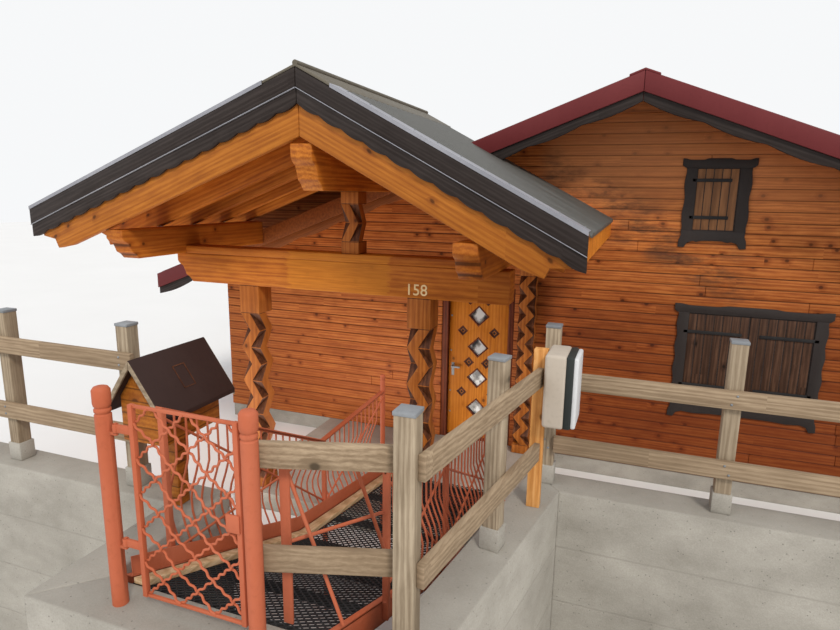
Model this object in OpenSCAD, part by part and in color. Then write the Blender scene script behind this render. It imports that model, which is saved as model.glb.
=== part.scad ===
// Alpine chalet: timber house with a gabled porch on carved posts, a steel mesh gangway that
// falls to its door, a lattice garden gate and a timber fence on a concrete retaining wall.
// Millimetres, +Z up, the street side faces -Y. x = 0 is the ridge of the main roof.
// Places along y are measured from the face of the house front, which lies at front_y.

/* [Main house] */
// Width of the timber house over its side walls
house_w = 11500; // [10500:100:12000]
// Depth of the house from the front wall to the rear wall
house_d = 9000; // [7000:100:11000]
// Thickness of the timber walls
wall_t = 200; // [180:10:260]
// Thickness of the concrete plinth under the walls
plinth_t = 300; // [260:10:400]
// Height of the ground floor above the lowest ground
floor_z = 200; // [150:10:260]
// Thickness of the ground floor
floor_t = 120; // [80:10:140]
// Drop of the door head below the underside of the main roof at the wall faces
head_drop = 56; // [30:2:120]
// Thickness of the attic floor
attic_t = 100; // [80:5:110]
// Height of the main ridge above the ground
ridge_z = 4740; // [4700:10:4900]
// Pitch of the main roof in degrees
main_pitch = 20.8; // [20:0.1:21]
// Vertical thickness of the main roof
roof_t = 180; // [140:10:200]
// Overhang of the main roof at its gables
verge_out = 720; // [600:10:800]
// Overhang of the main roof at its eaves
eave_out = 650; // [500:10:800]
// Height of the sheet edge on the verges of the main roof
verge_h = 200; // [160:10:220]
// Height of the dark board under that edge
trim_h = 110; // [80:5:130]

/* [Windows] */
// Width of a large window opening
win_w = 1274; // [900:10:1400]
// Height of a large window opening
win_h = 1080; // [900:10:1100]
// Drop of the heads of the large windows below the door head
win_drop = 130; // [120:5:200]
// Width of an attic window opening
attic_w = 426; // [380:10:600]
// Height of an attic window opening
attic_h = 690; // [500:10:750]
// Drop of the sills of the attic windows below the main ridge
attic_drop = 1612; // [1590:2:1690]
// Width of the boards of a window casing
casing_w = 130; // [110:5:150]
// Thickness of a window casing
casing_t = 28; // [20:1:40]

/* [Entrance door] */
// Distance of the middle of the door to the left of the main ridge
door_x = 1830; // [1800:5:1860]
// Width of the door leaf
door_w = 796; // [740:4:810]
// Thickness of the door leaf
door_t = 60; // [50:2:70]
// Width of the door frame members
jamb_w = 76; // [60:2:80]
// Gap round the door leaf
door_gap = 10; // [9:0.5:12]
// Width across the corners of a glazed diamond
diamond_w = 270; // [220:10:290]
// Width across the corners of a small recess
square_w = 140; // [100:5:145]

/* [Porch roof] */
// Distance of the porch ridge to the left of the main ridge
porch_x = 2590; // [2560:10:2620]
// Drop of the porch ridge below the main ridge
porch_drop = 270; // [240:10:300]
// Pitch of the wide left slope in degrees
pitch_l = 20.8; // [20.5:0.1:21]
// Pitch of the narrow right slope in degrees
pitch_r = 28; // [27.8:0.1:28.5]
// Width of the left slope
span_l = 3110; // [3000:10:3200]
// Width of the right slope
span_r = 2340; // [2300:10:2400]
// Vertical thickness of the porch roof boards and sheet
slab_t = 190; // [150:5:200]
// Vertical depth of the porch rafters and barge boards
rafter_h = 340; // [300:5:360]
// Projection of the porch roof in front of the house
porch_out = 3100; // [3000:10:3200]
// Height of the dark verge boards of the porch
porch_trim_h = 270; // [220:10:300]

/* [Porch frame] */
// Projection of the porch posts in front of the house
post_out = 2200; // [2150:10:2250]
// Side of the square porch posts
post_w = 240; // [200:5:250]
// Distance of the left porch post from the porch ridge
post_l = 1190; // [1150:10:1250]
// Distance of the right porch post from the porch ridge
post_r = 740; // [720:10:760]
// Drop of the underside of the head beam below the porch ridge
beam_drop = 1960; // [1930:10:1990]
// Height of the head beam
beam_h = 310; // [280:10:320]
// Width of the purlins
purlin_w = 205; // [180:5:210]
// Depth of the ridge purlin
ridge_purlin_h = 380; // [340:10:400]
// Width of the king post
king_w = 190; // [150:10:200]
// Height of the plain block at the head of a carved post
block_h = 300; // [250:10:340]
// Height of one period of the carved zigzag
zig = 300; // [260:10:340]
// Width of the carved ribbon as a share of the post
ribbon = 0.48; // [0.42:0.02:0.54]

/* [Gangway] */
// Height of the street and of the top of the retaining wall above the lowest ground
street_z = 1600; // [1550:10:1650]
// Left edge of the gangway, to the left of the main ridge
deck_l = 2150; // [2120:5:2180]
// Right edge of the gangway, to the left of the main ridge
deck_r = 1000; // [980:5:1040]
// Distance of the knee of the gangway in front of the house
knee_out = 4000; // [3900:20:4100]
// Height of the gangway at its knee
knee_z = 1000; // [960:10:1040]
// Height of the gangway at its foot
foot_z = 720; // [680:10:760]
// Thickness of the mesh deck
deck_t = 30; // [20:2:40]
// Height of the edge channels
channel_h = 130; // [110:5:150]
// Width of the edge channels
channel_w = 40; // [30:2:50]
// Height of the handrails above the gangway at the street end
rail_top = 880; // [820:10:920]
// Thickness of the balusters
baluster = 14; // [10:1:18]
// Spacing of the balusters
baluster_gap = 130; // [110:5:160]
// Depth of one step below the gangway
tread_d = 260; // [240:5:270]

/* [Gate] */
// Distance of the middle of the gate to the left of the main ridge
gate_x = 1670; // [1650:5:1690]
// Distance of the gate in front of the house
gate_out = 5640; // [5600:10:5680]
// Spacing of the gate posts
gate_w = 760; // [740:5:800]
// Diameter of the gate posts
gate_post = 72; // [60:2:80]
// Height of the gate posts above the street
gate_post_h = 1060; // [1040:10:1100]
// Width of the gate leaf
leaf_w = 560; // [540:5:570]
// Height of the gate leaf
leaf_h = 920; // [850:10:940]
// Side of the tube of the gate leaf
leaf_tube = 24; // [20:1:30]
// Width of one cell of the lattice
cell_w = 160; // [140:5:200]
// Height of one cell of the lattice
cell_h = 170; // [150:5:200]
// Thickness of the lattice wire
wire = 12; // [10:1:14]
// Depth of the waves of the lattice wire
wave = 8; // [5:1:10]

/* [Fence] */
// Side of the square fence posts
fence_post = 92; // [80:2:100]
// Height of the fence posts above the retaining wall
fence_h = 1080; // [1050:10:1150]
// Height of the fence boards
rail_h = 112; // [100:2:130]
// Thickness of the fence boards
rail_t = 36; // [28:1:40]
// Length of one bay of the fence
bay = 1070; // [1000:10:1100]
// Number of bays to the right
bays_r = 5; // [3:1:5]
// Number of bays to the left
bays_l = 3; // [2:1:3]
// Distance of the right fence in front of the house
fence_out = 3650; // [3600:10:3700]
// Distance of the left fence in front of the house
fence_left_out = 4700; // [4650:10:4750]
// Thickness of the retaining wall
curb_t = 260; // [220:10:280]

/* [Letterboxes] */
// Width of the small wooden letterbox hut
hut_w = 300; // [260:10:330]
// Depth of the small wooden letterbox hut
hut_d = 470; // [400:10:500]
// Height of the grey parcel box
parcel_h = 440; // [400:10:480]

/* [Hidden] */

// Colours
timber_c = [0.72, 0.34, 0.12];
beam_c = [0.80, 0.42, 0.14];
dark_c = [0.20, 0.17, 0.17];
red_c = [0.36, 0.12, 0.11];
concrete_c = [0.70, 0.68, 0.64];
steel_c = [0.85, 0.36, 0.22];
grey_wood_c = [0.62, 0.56, 0.46];
sheet_c = [0.62, 0.62, 0.60];

eps = 1;
seam = 4;
// Open joint where pitched faces rest on each other
slip = 0.3;
board_t = 30;
main_t = tan(main_pitch);
half_w = house_w / 2;
inner_x = half_w - wall_t;
eave_x = half_w + eave_out;
under_z = ridge_z - roof_t;
porch_ridge_z = ridge_z - porch_drop;

// The part is centred along y between the street face of the wall and the rear verge
front_y = (gate_out + curb_t / 2 - house_d - verge_out - board_t) / 2;

function main_top(x) = ridge_z - main_t * abs(x);
function porch_top(x) = porch_ridge_z - (x < -porch_x ? tan(pitch_l) * (-porch_x - x) : tan(pitch_r) * (x + porch_x));
function mix(a, b, t) = a + (b - a) * t;
porch_end = [-porch_x - span_l, -porch_x + span_r];
rafter_z = slab_t + rafter_h;

head_z = round(main_top(half_w) - roof_t - head_drop);

// Extrudes an outline drawn in x and z along y
module along_y(y0, y1) {
    translate([0, front_y + y1, 0]) rotate([90, 0, 0]) linear_extrude(y1 - y0) children();
}

// Extrudes an outline drawn in y and z along x
module along_x(x0, x1) {
    translate([x0, front_y, 0]) rotate([90, 0, 90]) linear_extrude(x1 - x0) children();
}

// A plain block given by its low and high corners
module block(low, high) {
    translate([low[0], front_y + low[1], low[2]]) cube(high - low);
}

// Windows as [centre, sill height, width, height] along the wall that they are in
win_z = head_z - win_drop - win_h;
attic_z = ridge_z - attic_drop;
near_x = 1328;
far_x = 4050;
attic_x = 839;
rear_x = 3900;
front_windows = [for (x = [near_x, far_x]) [x, win_z, win_w, win_h]];
front_attic = [[attic_x, attic_z, attic_w, attic_h]];
rear_windows = [for (x = [-rear_x, 0, rear_x]) [x, win_z, win_w, win_h]];
rear_attic = [for (x = [-attic_x, attic_x]) [x, attic_z, attic_w, attic_h]];
side_windows = [for (k = [0.28, 0.72]) [house_d * k, win_z, win_w, win_h]];

module window_hole(w) {
    translate([w[0] - w[2] / 2, w[1]]) square([w[2], w[3]]);
}

opening_l = -door_x - door_w / 2 - door_gap - jamb_w;
opening_r = -door_x + door_w / 2 + door_gap + jamb_w;

module plinth() {
    color(concrete_c) difference() {
        block([-half_w, 0, 0], [half_w, house_d, floor_z]);
        block([-half_w + plinth_t, plinth_t, -eps], [half_w - plinth_t, house_d - plinth_t, floor_z + eps]);
    }
}

module floors() {
    color(timber_c) {
        block([-half_w + plinth_t, plinth_t, floor_z - floor_t],
              [half_w - plinth_t, house_d - plinth_t, floor_z]);
        block([-inner_x, wall_t, head_z], [inner_x, house_d - wall_t, head_z + attic_t]);
    }
}

module front_wall_left() {
    color(timber_c) block([-half_w, 0, floor_z], [opening_l, wall_t, head_z]);
}

module front_wall_right() {
    color(timber_c) along_y(0, wall_t) difference() {
        translate([opening_r, floor_z]) square([half_w - opening_r, head_z - floor_z]);
        for (w = front_windows) window_hole(w);
    }
}

// Outline of a gable from a base height up to the underside of the main roof
module gable_outline(base) {
    polygon([[-half_w, base], [half_w, base], [half_w, main_top(half_w) - roof_t],
             [0, under_z], [-half_w, main_top(half_w) - roof_t]]);
}

module front_gable() {
    color(timber_c) along_y(0, wall_t) difference() {
        gable_outline(head_z);
        for (w = front_attic) window_hole(w);
    }
}

module rear_wall() {
    color(timber_c) along_y(house_d - wall_t, house_d) difference() {
        gable_outline(floor_z);
        for (w = concat(rear_windows, rear_attic)) window_hole(w);
    }
}

module side_wall(side) {
    color(timber_c) difference() {
        along_y(wall_t, house_d - wall_t)
            polygon([[side * half_w, floor_z], [side * inner_x, floor_z],
                     [side * inner_x, main_top(inner_x) - roof_t], [side * half_w, main_top(half_w) - roof_t]]);
        for (w = side_windows)
            along_x(side > 0 ? inner_x - eps : -half_w - eps, side > 0 ? half_w + eps : -inner_x + eps)
                window_hole(w);
    }
}

// The band that the porch roof takes up where it runs over the verge of the main roof
module porch_roof_space() {
    along_y(-verge_out - 2 * board_t, 0)
        polygon([[porch_end[0], porch_top(porch_end[0])], [-porch_x, porch_ridge_z],
                 [porch_end[1], porch_top(porch_end[1])], [porch_end[1], porch_top(porch_end[1]) - slab_t],
                 [-porch_x, porch_ridge_z - slab_t], [porch_end[0], porch_top(porch_end[0]) - slab_t]]);
}

module main_roof(side) {
    color(red_c) difference() {
        along_y(-verge_out, house_d + verge_out)
            polygon([[0, ridge_z], [side * eave_x, main_top(eave_x)],
                     [side * eave_x, main_top(eave_x) - roof_t], [0, under_z]]);
        if (side < 0) porch_roof_space();
    }
}

// A board that follows a pitched line between two places, with its top a given depth below it
module slope_board(p, q, depth, height) {
    polygon([[p[0], p[1] - depth], [q[0], q[1] - depth], [q[0], q[1] - depth - height],
             [p[0], p[1] - depth - height]]);
}

cap_w = 150;
porch_cap_w = 330;
cap_t = 25;
module main_ridge_cap() {
    color(red_c) along_y(-verge_out - board_t, house_d + verge_out + board_t)
        polygon([[-cap_w, main_top(cap_w) + slip], [0, ridge_z + slip], [cap_w, main_top(cap_w) + slip],
                 [cap_w, main_top(cap_w) + cap_t], [0, ridge_z + cap_t], [-cap_w, main_top(cap_w) + cap_t]]);
}

module main_verge_boards() {
    color(red_c) difference() {
        for (y = [-verge_out - board_t, house_d + verge_out], side = [-1, 1]) along_y(y, y + board_t)
            slope_board([side * seam / 2, main_top(seam / 2)], [side * eave_x, main_top(eave_x)], 0, verge_h);
        porch_roof_space();
    }
}

// Points of a wavy edge between two places: each wave is an arc of six steps
function waves(p, q, count, depth) = [
    for (i = [0 : count * 6])
        let (t = i / (count * 6), k = (i % 6) / 6)
            [mix(p[0], q[0], t), mix(p[1], q[1], t) - depth * sin(180 * k)]
];

// A board under a pitched line whose lower edge is cut in waves
scallop = 28;
module wavy_board(p, q, depth, height, pitch_of_waves) {
    count = max(1, round(norm(q - p) / pitch_of_waves));
    low = [0, depth + height];
    polygon(concat(waves(p - low, q - low, count, scallop), [q - [0, depth], p - [0, depth]]));
}

wave_main = 640;
module main_verge_trim() {
    color(dark_c) difference() {
        for (y = [-verge_out, house_d + verge_out - board_t], side = [-1, 1]) along_y(y, y + board_t)
            wavy_board([side * seam / 2, main_top(seam / 2)], [side * eave_x, main_top(eave_x)],
                       roof_t, trim_h, wave_main);
        porch_roof_space();
    }
}

// A casing round one window: wavy sides, a broad head board and a sill board with ears
ear = 40;
module casing_outline(w) {
    x0 = w[0] - w[2] / 2;
    x1 = w[0] + w[2] / 2;
    z0 = w[1];
    z1 = w[1] + w[3];
    count = max(2, round(w[3] / 180));
    difference() {
        polygon(concat(
            [[x0 - casing_w - ear, z1], [x0 - casing_w, z1]],
            [for (i = [1 : count * 4 - 1]) [x0 - casing_w + ear / 2 * abs(sin(45 * i)), mix(z1, z0, i / (count * 4))]],
            [[x0 - casing_w, z0], [x0 - casing_w - ear / 2, z0 - casing_w + ear], [x0 - casing_w, z0 - casing_w],
             [x1 + casing_w, z0 - casing_w], [x1 + casing_w + ear / 2, z0 - casing_w + ear], [x1 + casing_w, z0]],
            [for (i = [1 : count * 4 - 1]) [x1 + casing_w - ear / 2 * abs(sin(45 * i)), mix(z0, z1, i / (count * 4))]],
            [[x1 + casing_w, z1], [x1 + casing_w + ear, z1], [x1 + casing_w + ear / 2, z1 + casing_w * 0.8],
             [x0 - casing_w - ear / 2, z1 + casing_w * 0.8]]));
        window_hole(w);
    }
}

module window_casings() {
    color(dark_c) {
        along_y(-casing_t, 0) for (w = concat(front_windows, front_attic)) casing_outline(w);
        along_y(house_d, house_d + casing_t) for (w = concat(rear_windows, rear_attic)) casing_outline(w);
        along_x(half_w, half_w + casing_t) for (w = side_windows) casing_outline(w);
        along_x(-half_w - casing_t, -half_w) for (w = side_windows) casing_outline(w);
    }
}

// Closed shutters: one leaf in an attic window, two in a large one
shutter_t = 40;
shutter_in = 20;
module shutter_outline(w) {
    leaves = w[2] > 700 ? 2 : 1;
    leaf = w[2] / leaves;
    for (i = [0 : leaves - 1])
        translate([w[0] - w[2] / 2 + i * leaf + (i > 0 ? seam / 2 : 0), w[1]])
            square([leaf - (leaves > 1 ? seam / 2 : 0), w[3]]);
}

module window_shutters() {
    color(dark_c) {
        along_y(-shutter_in, shutter_t - shutter_in)
            for (w = concat(front_windows, front_attic)) shutter_outline(w);
        along_y(house_d + shutter_in - shutter_t, house_d + shutter_in)
            for (w = concat(rear_windows, rear_attic)) shutter_outline(w);
        along_x(half_w + shutter_in - shutter_t, half_w + shutter_in)
            for (w = side_windows) shutter_outline(w);
        along_x(-half_w - shutter_in, -half_w - shutter_in + shutter_t)
            for (w = side_windows) shutter_outline(w);
    }
}

// The door closes flush with the inner side of its frame and swings into the house
frame_d = 120;
sill_h = 16;
door_y = frame_d - door_t;
leaf_l = -door_x - door_w / 2;
leaf_r = -door_x + door_w / 2;
leaf_z0 = floor_z + sill_h + door_gap;
leaf_z1 = head_z - jamb_w - door_gap;
hinge_pin = 8;
hinge_knuckle = 14;
hinge_play = 0.4;
hinge_x = leaf_r + door_gap / 2;
hinge_y = frame_d + hinge_knuckle + 4;
hinge_at = [leaf_z0 + 220, (leaf_z0 + leaf_z1) / 2, leaf_z1 - 220];
knuckle_h = 70;

module upright(x, y, z, r, h) {
    translate([x, front_y + y, z]) cylinder(r = r, h = h, $fn = 32);
}

module door_frame() {
    color(beam_c) {
        along_y(0, frame_d) difference() {
            translate([opening_l, floor_z]) square([opening_r - opening_l, head_z - floor_z]);
            translate([opening_l + jamb_w, floor_z + sill_h])
                square([opening_r - opening_l - 2 * jamb_w, head_z - floor_z - sill_h - jamb_w]);
        }
        for (z = hinge_at) {
            upright(hinge_x, hinge_y, z - 12, hinge_pin, knuckle_h + 12);
            block([hinge_x, frame_d - eps, z - 12], [opening_r - 10, hinge_y + hinge_pin, z]);
        }
    }
}

// Heights of the glazed diamonds and the sideways steps of the small recesses between them
diamond_step = 0.21265 * (leaf_z1 - leaf_z0);
diamond_first = 0.74 * diamond_step;
diamond_z = [for (i = [0 : 3]) leaf_z1 - diamond_first - i * diamond_step];
recess_z = [for (i = [0 : 3]) diamond_z[i] + diamond_step / 2];
recess_x = [120, 215, 120, 210];
recess_d = 20;

module diamond(x, z, across) {
    translate([x, z]) rotate(45) square(across / sqrt(2), center = true);
}

module door_leaf() {
    color(beam_c) difference() {
        union() {
            along_y(door_y, door_y + door_t) translate([leaf_l, leaf_z0]) square([door_w, leaf_z1 - leaf_z0]);
            for (z = hinge_at) {
                upright(hinge_x, hinge_y, z + hinge_play, hinge_knuckle, knuckle_h);
                block([hinge_x - 60, frame_d - eps, z + hinge_play], [hinge_x, hinge_y, z + hinge_play + knuckle_h]);
            }
            handle();
        }
        for (z = diamond_z) along_y(door_y - eps, frame_d + eps) diamond(-door_x, z, diamond_w);
        for (i = [0 : 3], s = [-1, 1]) along_y(door_y - eps, door_y + recess_d)
            diamond(-door_x + s * recess_x[i], recess_z[i], square_w);
        for (z = hinge_at) upright(hinge_x, hinge_y, z - 20, hinge_pin + hinge_play, knuckle_h + 40);
    }
}

// Lever handles on both faces of the leaf
handle_z = floor_z + 1000;
handle_in = 60;
module handle() {
    for (y = [[door_y - 55, door_y + eps], [frame_d - eps, frame_d + 55]])
        block([leaf_l + handle_in - 12, y[0], handle_z - 12], [leaf_l + handle_in + 12, y[1], handle_z + 12]);
    for (y = [door_y - 55, frame_d + 35])
        block([leaf_l + handle_in - 12, y, handle_z - 12], [leaf_l + handle_in + 110, y + 20, handle_z + 12]);
}

glass_t = 20;
module door_glass() {
    color([0.75, 0.82, 0.85, 0.6]) along_y(door_y + (door_t - glass_t) / 2, door_y + (door_t + glass_t) / 2)
        for (z = diamond_z) diamond(-door_x, z, diamond_w);
}

// Porch frame
post_x = [-porch_x - post_l, -porch_x + post_r];
post_y = -post_out + post_w / 2;
beam_z = porch_ridge_z - beam_drop;
beam_top = beam_z + beam_h;
purlin_x = [-4680, -porch_x, -1165];
beam_end = [-4700, -980];
plate_t = 80;
ridge_under = porch_top(-porch_x + purlin_w / 2) - rafter_z - ridge_purlin_h;

module porch_floor() {
    color(concrete_c) block([post_x[0] - post_w, -post_out - 100, 0], [purlin_x[2] + post_w, 0, floor_z]);
}

// Outline of a ribbon that zigzags across a post between two heights
module zigzag(w, z0, z1, phase) {
    n = max(2, round((z1 - z0) / (zig / 2)));
    sway = w * (1 - ribbon) / 2;
    side = [for (i = [0 : n]) [(i + phase) % 2 == 0 ? sway : -sway, mix(z1, z0, i / n)]];
    polygon(concat([for (p = side) p + [w * ribbon / 2, 0]],
                   [for (i = [n : -1 : 0]) side[i] - [w * ribbon / 2, 0]]));
}

// A square post with a plain head block above and a plain foot below two crossed zigzag ribbons
foot_h = 120;
module carved_post(x, y, w, z0, z1, head) {
    translate([x, front_y + y, 0]) {
        translate([-w / 2, -w / 2, z1 - head]) cube([w, w, head]);
        translate([-w / 2, -w / 2, z0]) cube([w, w, foot_h]);
        for (turn = [0, 90]) rotate(turn) translate([0, w / 2, 0]) rotate([90, 0, 0]) linear_extrude(w)
            zigzag(w, z0 + foot_h, z1 - head, turn / 90);
    }
}

module porch_post(i) {
    color(beam_c) carved_post(post_x[i], post_y, post_w, floor_z, beam_z, block_h);
}

module porch_rear_post() {
    color(beam_c) carved_post(purlin_x[2], -purlin_w / 2, purlin_w, floor_z, beam_top, block_h);
}

// Stepped curve at the end of a beam, from its upper corner to its underside
function corbel(x, z, w, h) = [
    [x, z], [x, z - h * 0.28], [x + w * 0.12, z - h * 0.38], [x + w * 0.36, z - h * 0.46],
    [x + w * 0.48, z - h * 0.62], [x + w * 0.56, z - h * 0.76], [x + w * 0.82, z - h * 0.86], [x + w, z - h]
];

corbel_w = 190;
module head_beam() {
    color(beam_c) along_y(-post_out, -post_out + post_w)
        polygon(concat(corbel(beam_end[0], beam_top, corbel_w, beam_h),
                       [[beam_end[1], beam_z], [beam_end[1], beam_top]]));
}

module head_plate() {
    color(timber_c) block([purlin_x[0] + purlin_w / 2, -post_out, beam_top],
                          [purlin_x[2] - purlin_w / 2, -post_out + post_w, beam_top + plate_t]);
}

module king_post() {
    z0 = beam_top + plate_t;
    w = king_w;
    color(beam_c) translate([-porch_x, front_y + post_y, 0]) {
        for (z = [z0, ridge_under - foot_h]) translate([-w / 2, -w / 2, z]) cube([w, w, foot_h]);
        for (turn = [0, 90]) rotate(turn) translate([0, w / 2, 0]) rotate([90, 0, 0]) linear_extrude(w)
            zigzag(w, z0 + foot_h, ridge_under - foot_h, 1);
    }
}

// A purlin with a stepped corbel at its front end
purlin_back = -verge_out - board_t;
module purlin(x, z0, z1, y_end) {
    along_x(x - purlin_w / 2, x + purlin_w / 2)
        polygon(concat(corbel(-porch_out + 50, z1, corbel_w, z1 - z0), [[y_end, z0], [y_end, z1]]));
}

module porch_purlins() {
    color(beam_c) {
        purlin(purlin_x[0], beam_top, porch_top(purlin_x[0] - purlin_w / 2) - rafter_z, purlin_back);
        purlin(purlin_x[1], ridge_under, ridge_under + ridge_purlin_h, purlin_back);
        purlin(purlin_x[2], beam_top, porch_top(purlin_x[2] + purlin_w / 2) - rafter_z, 0);
    }
}

// Rafters stand in pairs behind the barge boards
rafter_w = 90;
rafter_pairs = 4;
rafter_in = 110;
barge_t = 60;
module rafter_side(side, tail) {
    e = side < 0 ? porch_end[0] + rafter_in : porch_end[1] - rafter_in;
    m = -porch_x + side * seam / 2;
    k = e - side * tail;
    top = slab_t + slip;
    polygon([[m, porch_top(m) - top], [e, porch_top(e) - top], [e, porch_top(e) - slab_t - rafter_h * 0.35],
             [mix(e, k, 0.4), porch_top(mix(e, k, 0.4)) - slab_t - rafter_h * 0.6],
             [mix(e, k, 0.5), porch_top(mix(e, k, 0.5)) - slab_t - rafter_h * 0.9],
             [k, porch_top(k) - rafter_z], [m, porch_top(m) - rafter_z]]);
}

barge_y = -porch_out + board_t;
module porch_rafters() {
    first = barge_y + barge_t + 620;
    last = purlin_back - rafter_w;
    color(beam_c) for (i = [0 : rafter_pairs - 1], side = [-1, 1]) {
        y = mix(first, last, i / (rafter_pairs - 1));
        along_y(y, y + rafter_w) rafter_side(side, 260);
    }
}

module barge_boards() {
    color(beam_c) for (side = [-1, 1]) along_y(barge_y, barge_y + barge_t) rafter_side(side, 380);
}

module porch_roof(side) {
    e = side < 0 ? porch_end[0] : porch_end[1];
    color(sheet_c) along_y(barge_y, 0)
        polygon([[-porch_x, porch_ridge_z], [e, porch_top(e)], [e, porch_top(e) - slab_t],
                 [-porch_x, porch_ridge_z - slab_t]]);
}

// Dark boards along the front edge of the porch roof, wavy below
wave_porch = 300;
module porch_verge_boards() {
    color(dark_c) along_y(-porch_out, -porch_out + board_t) for (side = [-1, 1]) {
        e = side < 0 ? porch_end[0] : porch_end[1];
        m = -porch_x + side * seam / 2;
        wavy_board([m, porch_top(m)], [e, porch_top(e)], 0, porch_trim_h, wave_porch);
    }
}

module porch_ridge_cap() {
    x0 = -porch_x - porch_cap_w;
    x1 = -porch_x + porch_cap_w;
    color(sheet_c) along_y(-porch_out - 10, 0)
        polygon([[x0, porch_top(x0) + slip], [-porch_x, porch_ridge_z + slip], [x1, porch_top(x1) + slip],
                 [x1, porch_top(x1) + cap_t], [-porch_x, porch_ridge_z + cap_t], [x0, porch_top(x0) + cap_t]]);
}

// Boards that close the rear of the porch roof above the main roof
back_t = 40;
meet_x = (porch_ridge_z - tan(pitch_r) * porch_x - slab_t - ridge_z - 2 * slip) / (main_t + tan(pitch_r));
module porch_back_gable() {
    x0 = porch_end[0] + 150;
    top = slab_t + slip;
    color(timber_c) along_y(-back_t, 0)
        polygon([[x0, main_top(x0) + slip], [meet_x, main_top(meet_x) + slip], [-porch_x, porch_ridge_z - top],
                 [x0, porch_top(x0) - top]]);
}

// Concrete wall that holds the street, cast in straight lengths with open joints
gate_l = -gate_x - gate_w / 2;
gate_r = -gate_x + gate_w / 2;
corner_p = [-690, -gate_out + 190];
turn_p = [-380, -fence_out];
left_gap = 240;
left_p = [-deck_l - left_gap, -fence_left_out];
left_first = 480;
wall_past = 180;
wall_line = [
    left_p - [left_first + bays_l * bay + wall_past, 0], left_p, [left_p[0], -gate_out],
    [-deck_r + 60, -gate_out], corner_p, turn_p, turn_p + [bays_r * bay + wall_past, 0]
];
wall_joint = 0.3;

function normal(p, q) = [p[1] - q[1], q[0] - p[0]] / norm(q - p);
// Corner of the wall on one of its sides, where the faces of two lengths cross
function wall_corner(i, side) =
    let (n = len(wall_line) - 1,
         a = normal(wall_line[max(i - 1, 0)], wall_line[max(i - 1, 0) + 1]),
         b = normal(wall_line[min(i, n - 1)], wall_line[min(i, n - 1) + 1]))
    wall_line[i] + side * curb_t / 2 * (a + b) / (1 + a * b);

module retaining_wall() {
    color(concrete_c) translate([0, front_y, 0]) linear_extrude(street_z)
        for (i = [0 : len(wall_line) - 2]) {
            l0 = wall_corner(i, 1);
            l1 = wall_corner(i + 1, 1);
            r0 = wall_corner(i, -1);
            r1 = wall_corner(i + 1, -1);
            t = wall_joint / 2 / norm(wall_line[i + 1] - wall_line[i]);
            polygon([mix(l0, l1, t), mix(l1, l0, t), mix(r1, r0, t), mix(r0, r1, t)]);
        }
}

// Steel gangway: mesh decks between edge channels, steep to the knee and gentle below it
deck_y = [-gate_out + curb_t / 2, -knee_out, -post_out - 100];
deck_z = [street_z, knee_z, foot_z];
function deck_at(y) = y < deck_y[1]
    ? mix(deck_z[0], deck_z[1], (y - deck_y[0]) / (deck_y[1] - deck_y[0]))
    : mix(deck_z[1], deck_z[2], (y - deck_y[1]) / (deck_y[2] - deck_y[1]));

module deck_band(up, down) {
    polygon(concat([for (i = [0 : 2]) [deck_y[i], deck_z[i] + up]],
                   [for (i = [2 : -1 : 0]) [deck_y[i], deck_z[i] - down]]));
}

kerb_h = 40;
module gangway_deck() {
    color(steel_c) {
        for (x = [-deck_l, -deck_r - channel_w]) along_x(x, x + channel_w) deck_band(kerb_h, channel_h - kerb_h);
        along_x(-deck_l + channel_w - eps, -deck_r - channel_w + eps) deck_band(0, deck_t);
    }
}

// Steps from the foot of the gangway down to the porch floor, beside the right porch post
step_l = -post_x[1] - post_w / 2 - 30;
riser = (foot_z - floor_z) / 3;
module gangway_steps() {
    color(steel_c) for (x = [-step_l, -deck_r - channel_w]) along_x(x, x + channel_w)
        polygon([[deck_y[2], foot_z - riser - deck_t], [deck_y[2] + tread_d, foot_z - riser - deck_t],
                 [deck_y[2] + tread_d, foot_z - 2 * riser - deck_t],
                 [deck_y[2] + 2 * tread_d, foot_z - 2 * riser - deck_t],
                 [deck_y[2] + 2 * tread_d, floor_z], [deck_y[2], floor_z]]);
    color(steel_c) for (i = [1, 2])
        block([-step_l, deck_y[2] + (i - 1) * tread_d, foot_z - i * riser - deck_t],
              [-deck_r, deck_y[2] + i * tread_d, foot_z - i * riser]);
}

// Handrails on posts that carry the edge channels, with bars that belly outwards
rail_w = 40;
rail_t_steel = 26;
belly = 60;
rail_start_l = 5200;
rail_start_r = 5000;
rail_knee_l = 3520;
rail_low = 780;
rail_foot_l = 870;
rail_foot_r = 830;
left_rail = [[-rail_start_l, street_z + rail_top - 2 * rail_w], [-rail_knee_l, knee_z + rail_low - 230],
             [deck_y[2], foot_z + rail_foot_l]];
right_rail = [[-rail_start_r, deck_at(-rail_start_r) + rail_low], [-knee_out, knee_z + rail_low],
              [deck_y[2], foot_z + rail_foot_r]];

function rail_at(line, y) = y < line[1][0]
    ? mix(line[0][1], line[1][1], (y - line[0][0]) / (line[1][0] - line[0][0]))
    : mix(line[1][1], line[2][1], (y - line[1][0]) / (line[2][0] - line[1][0]));

// One flat bar, drawn in x and z, that leans outwards in the middle of its height
module belly_bar(x, out, y, z0, z1) {
    h = z1 - z0;
    line = [[0, 0], [0, 0.12], [1, 0.3], [1, 0.5], [0, 0.78], [0, 1]];
    along_y(y, y + baluster)
        polygon(concat([for (p = line) [x + out * belly * p[0] - baluster / 2, z0 + h * p[1]]],
                       [for (i = [5 : -1 : 0]) [x + out * belly * line[i][0] + baluster / 2, z0 + h * line[i][1]]]));
}

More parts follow.
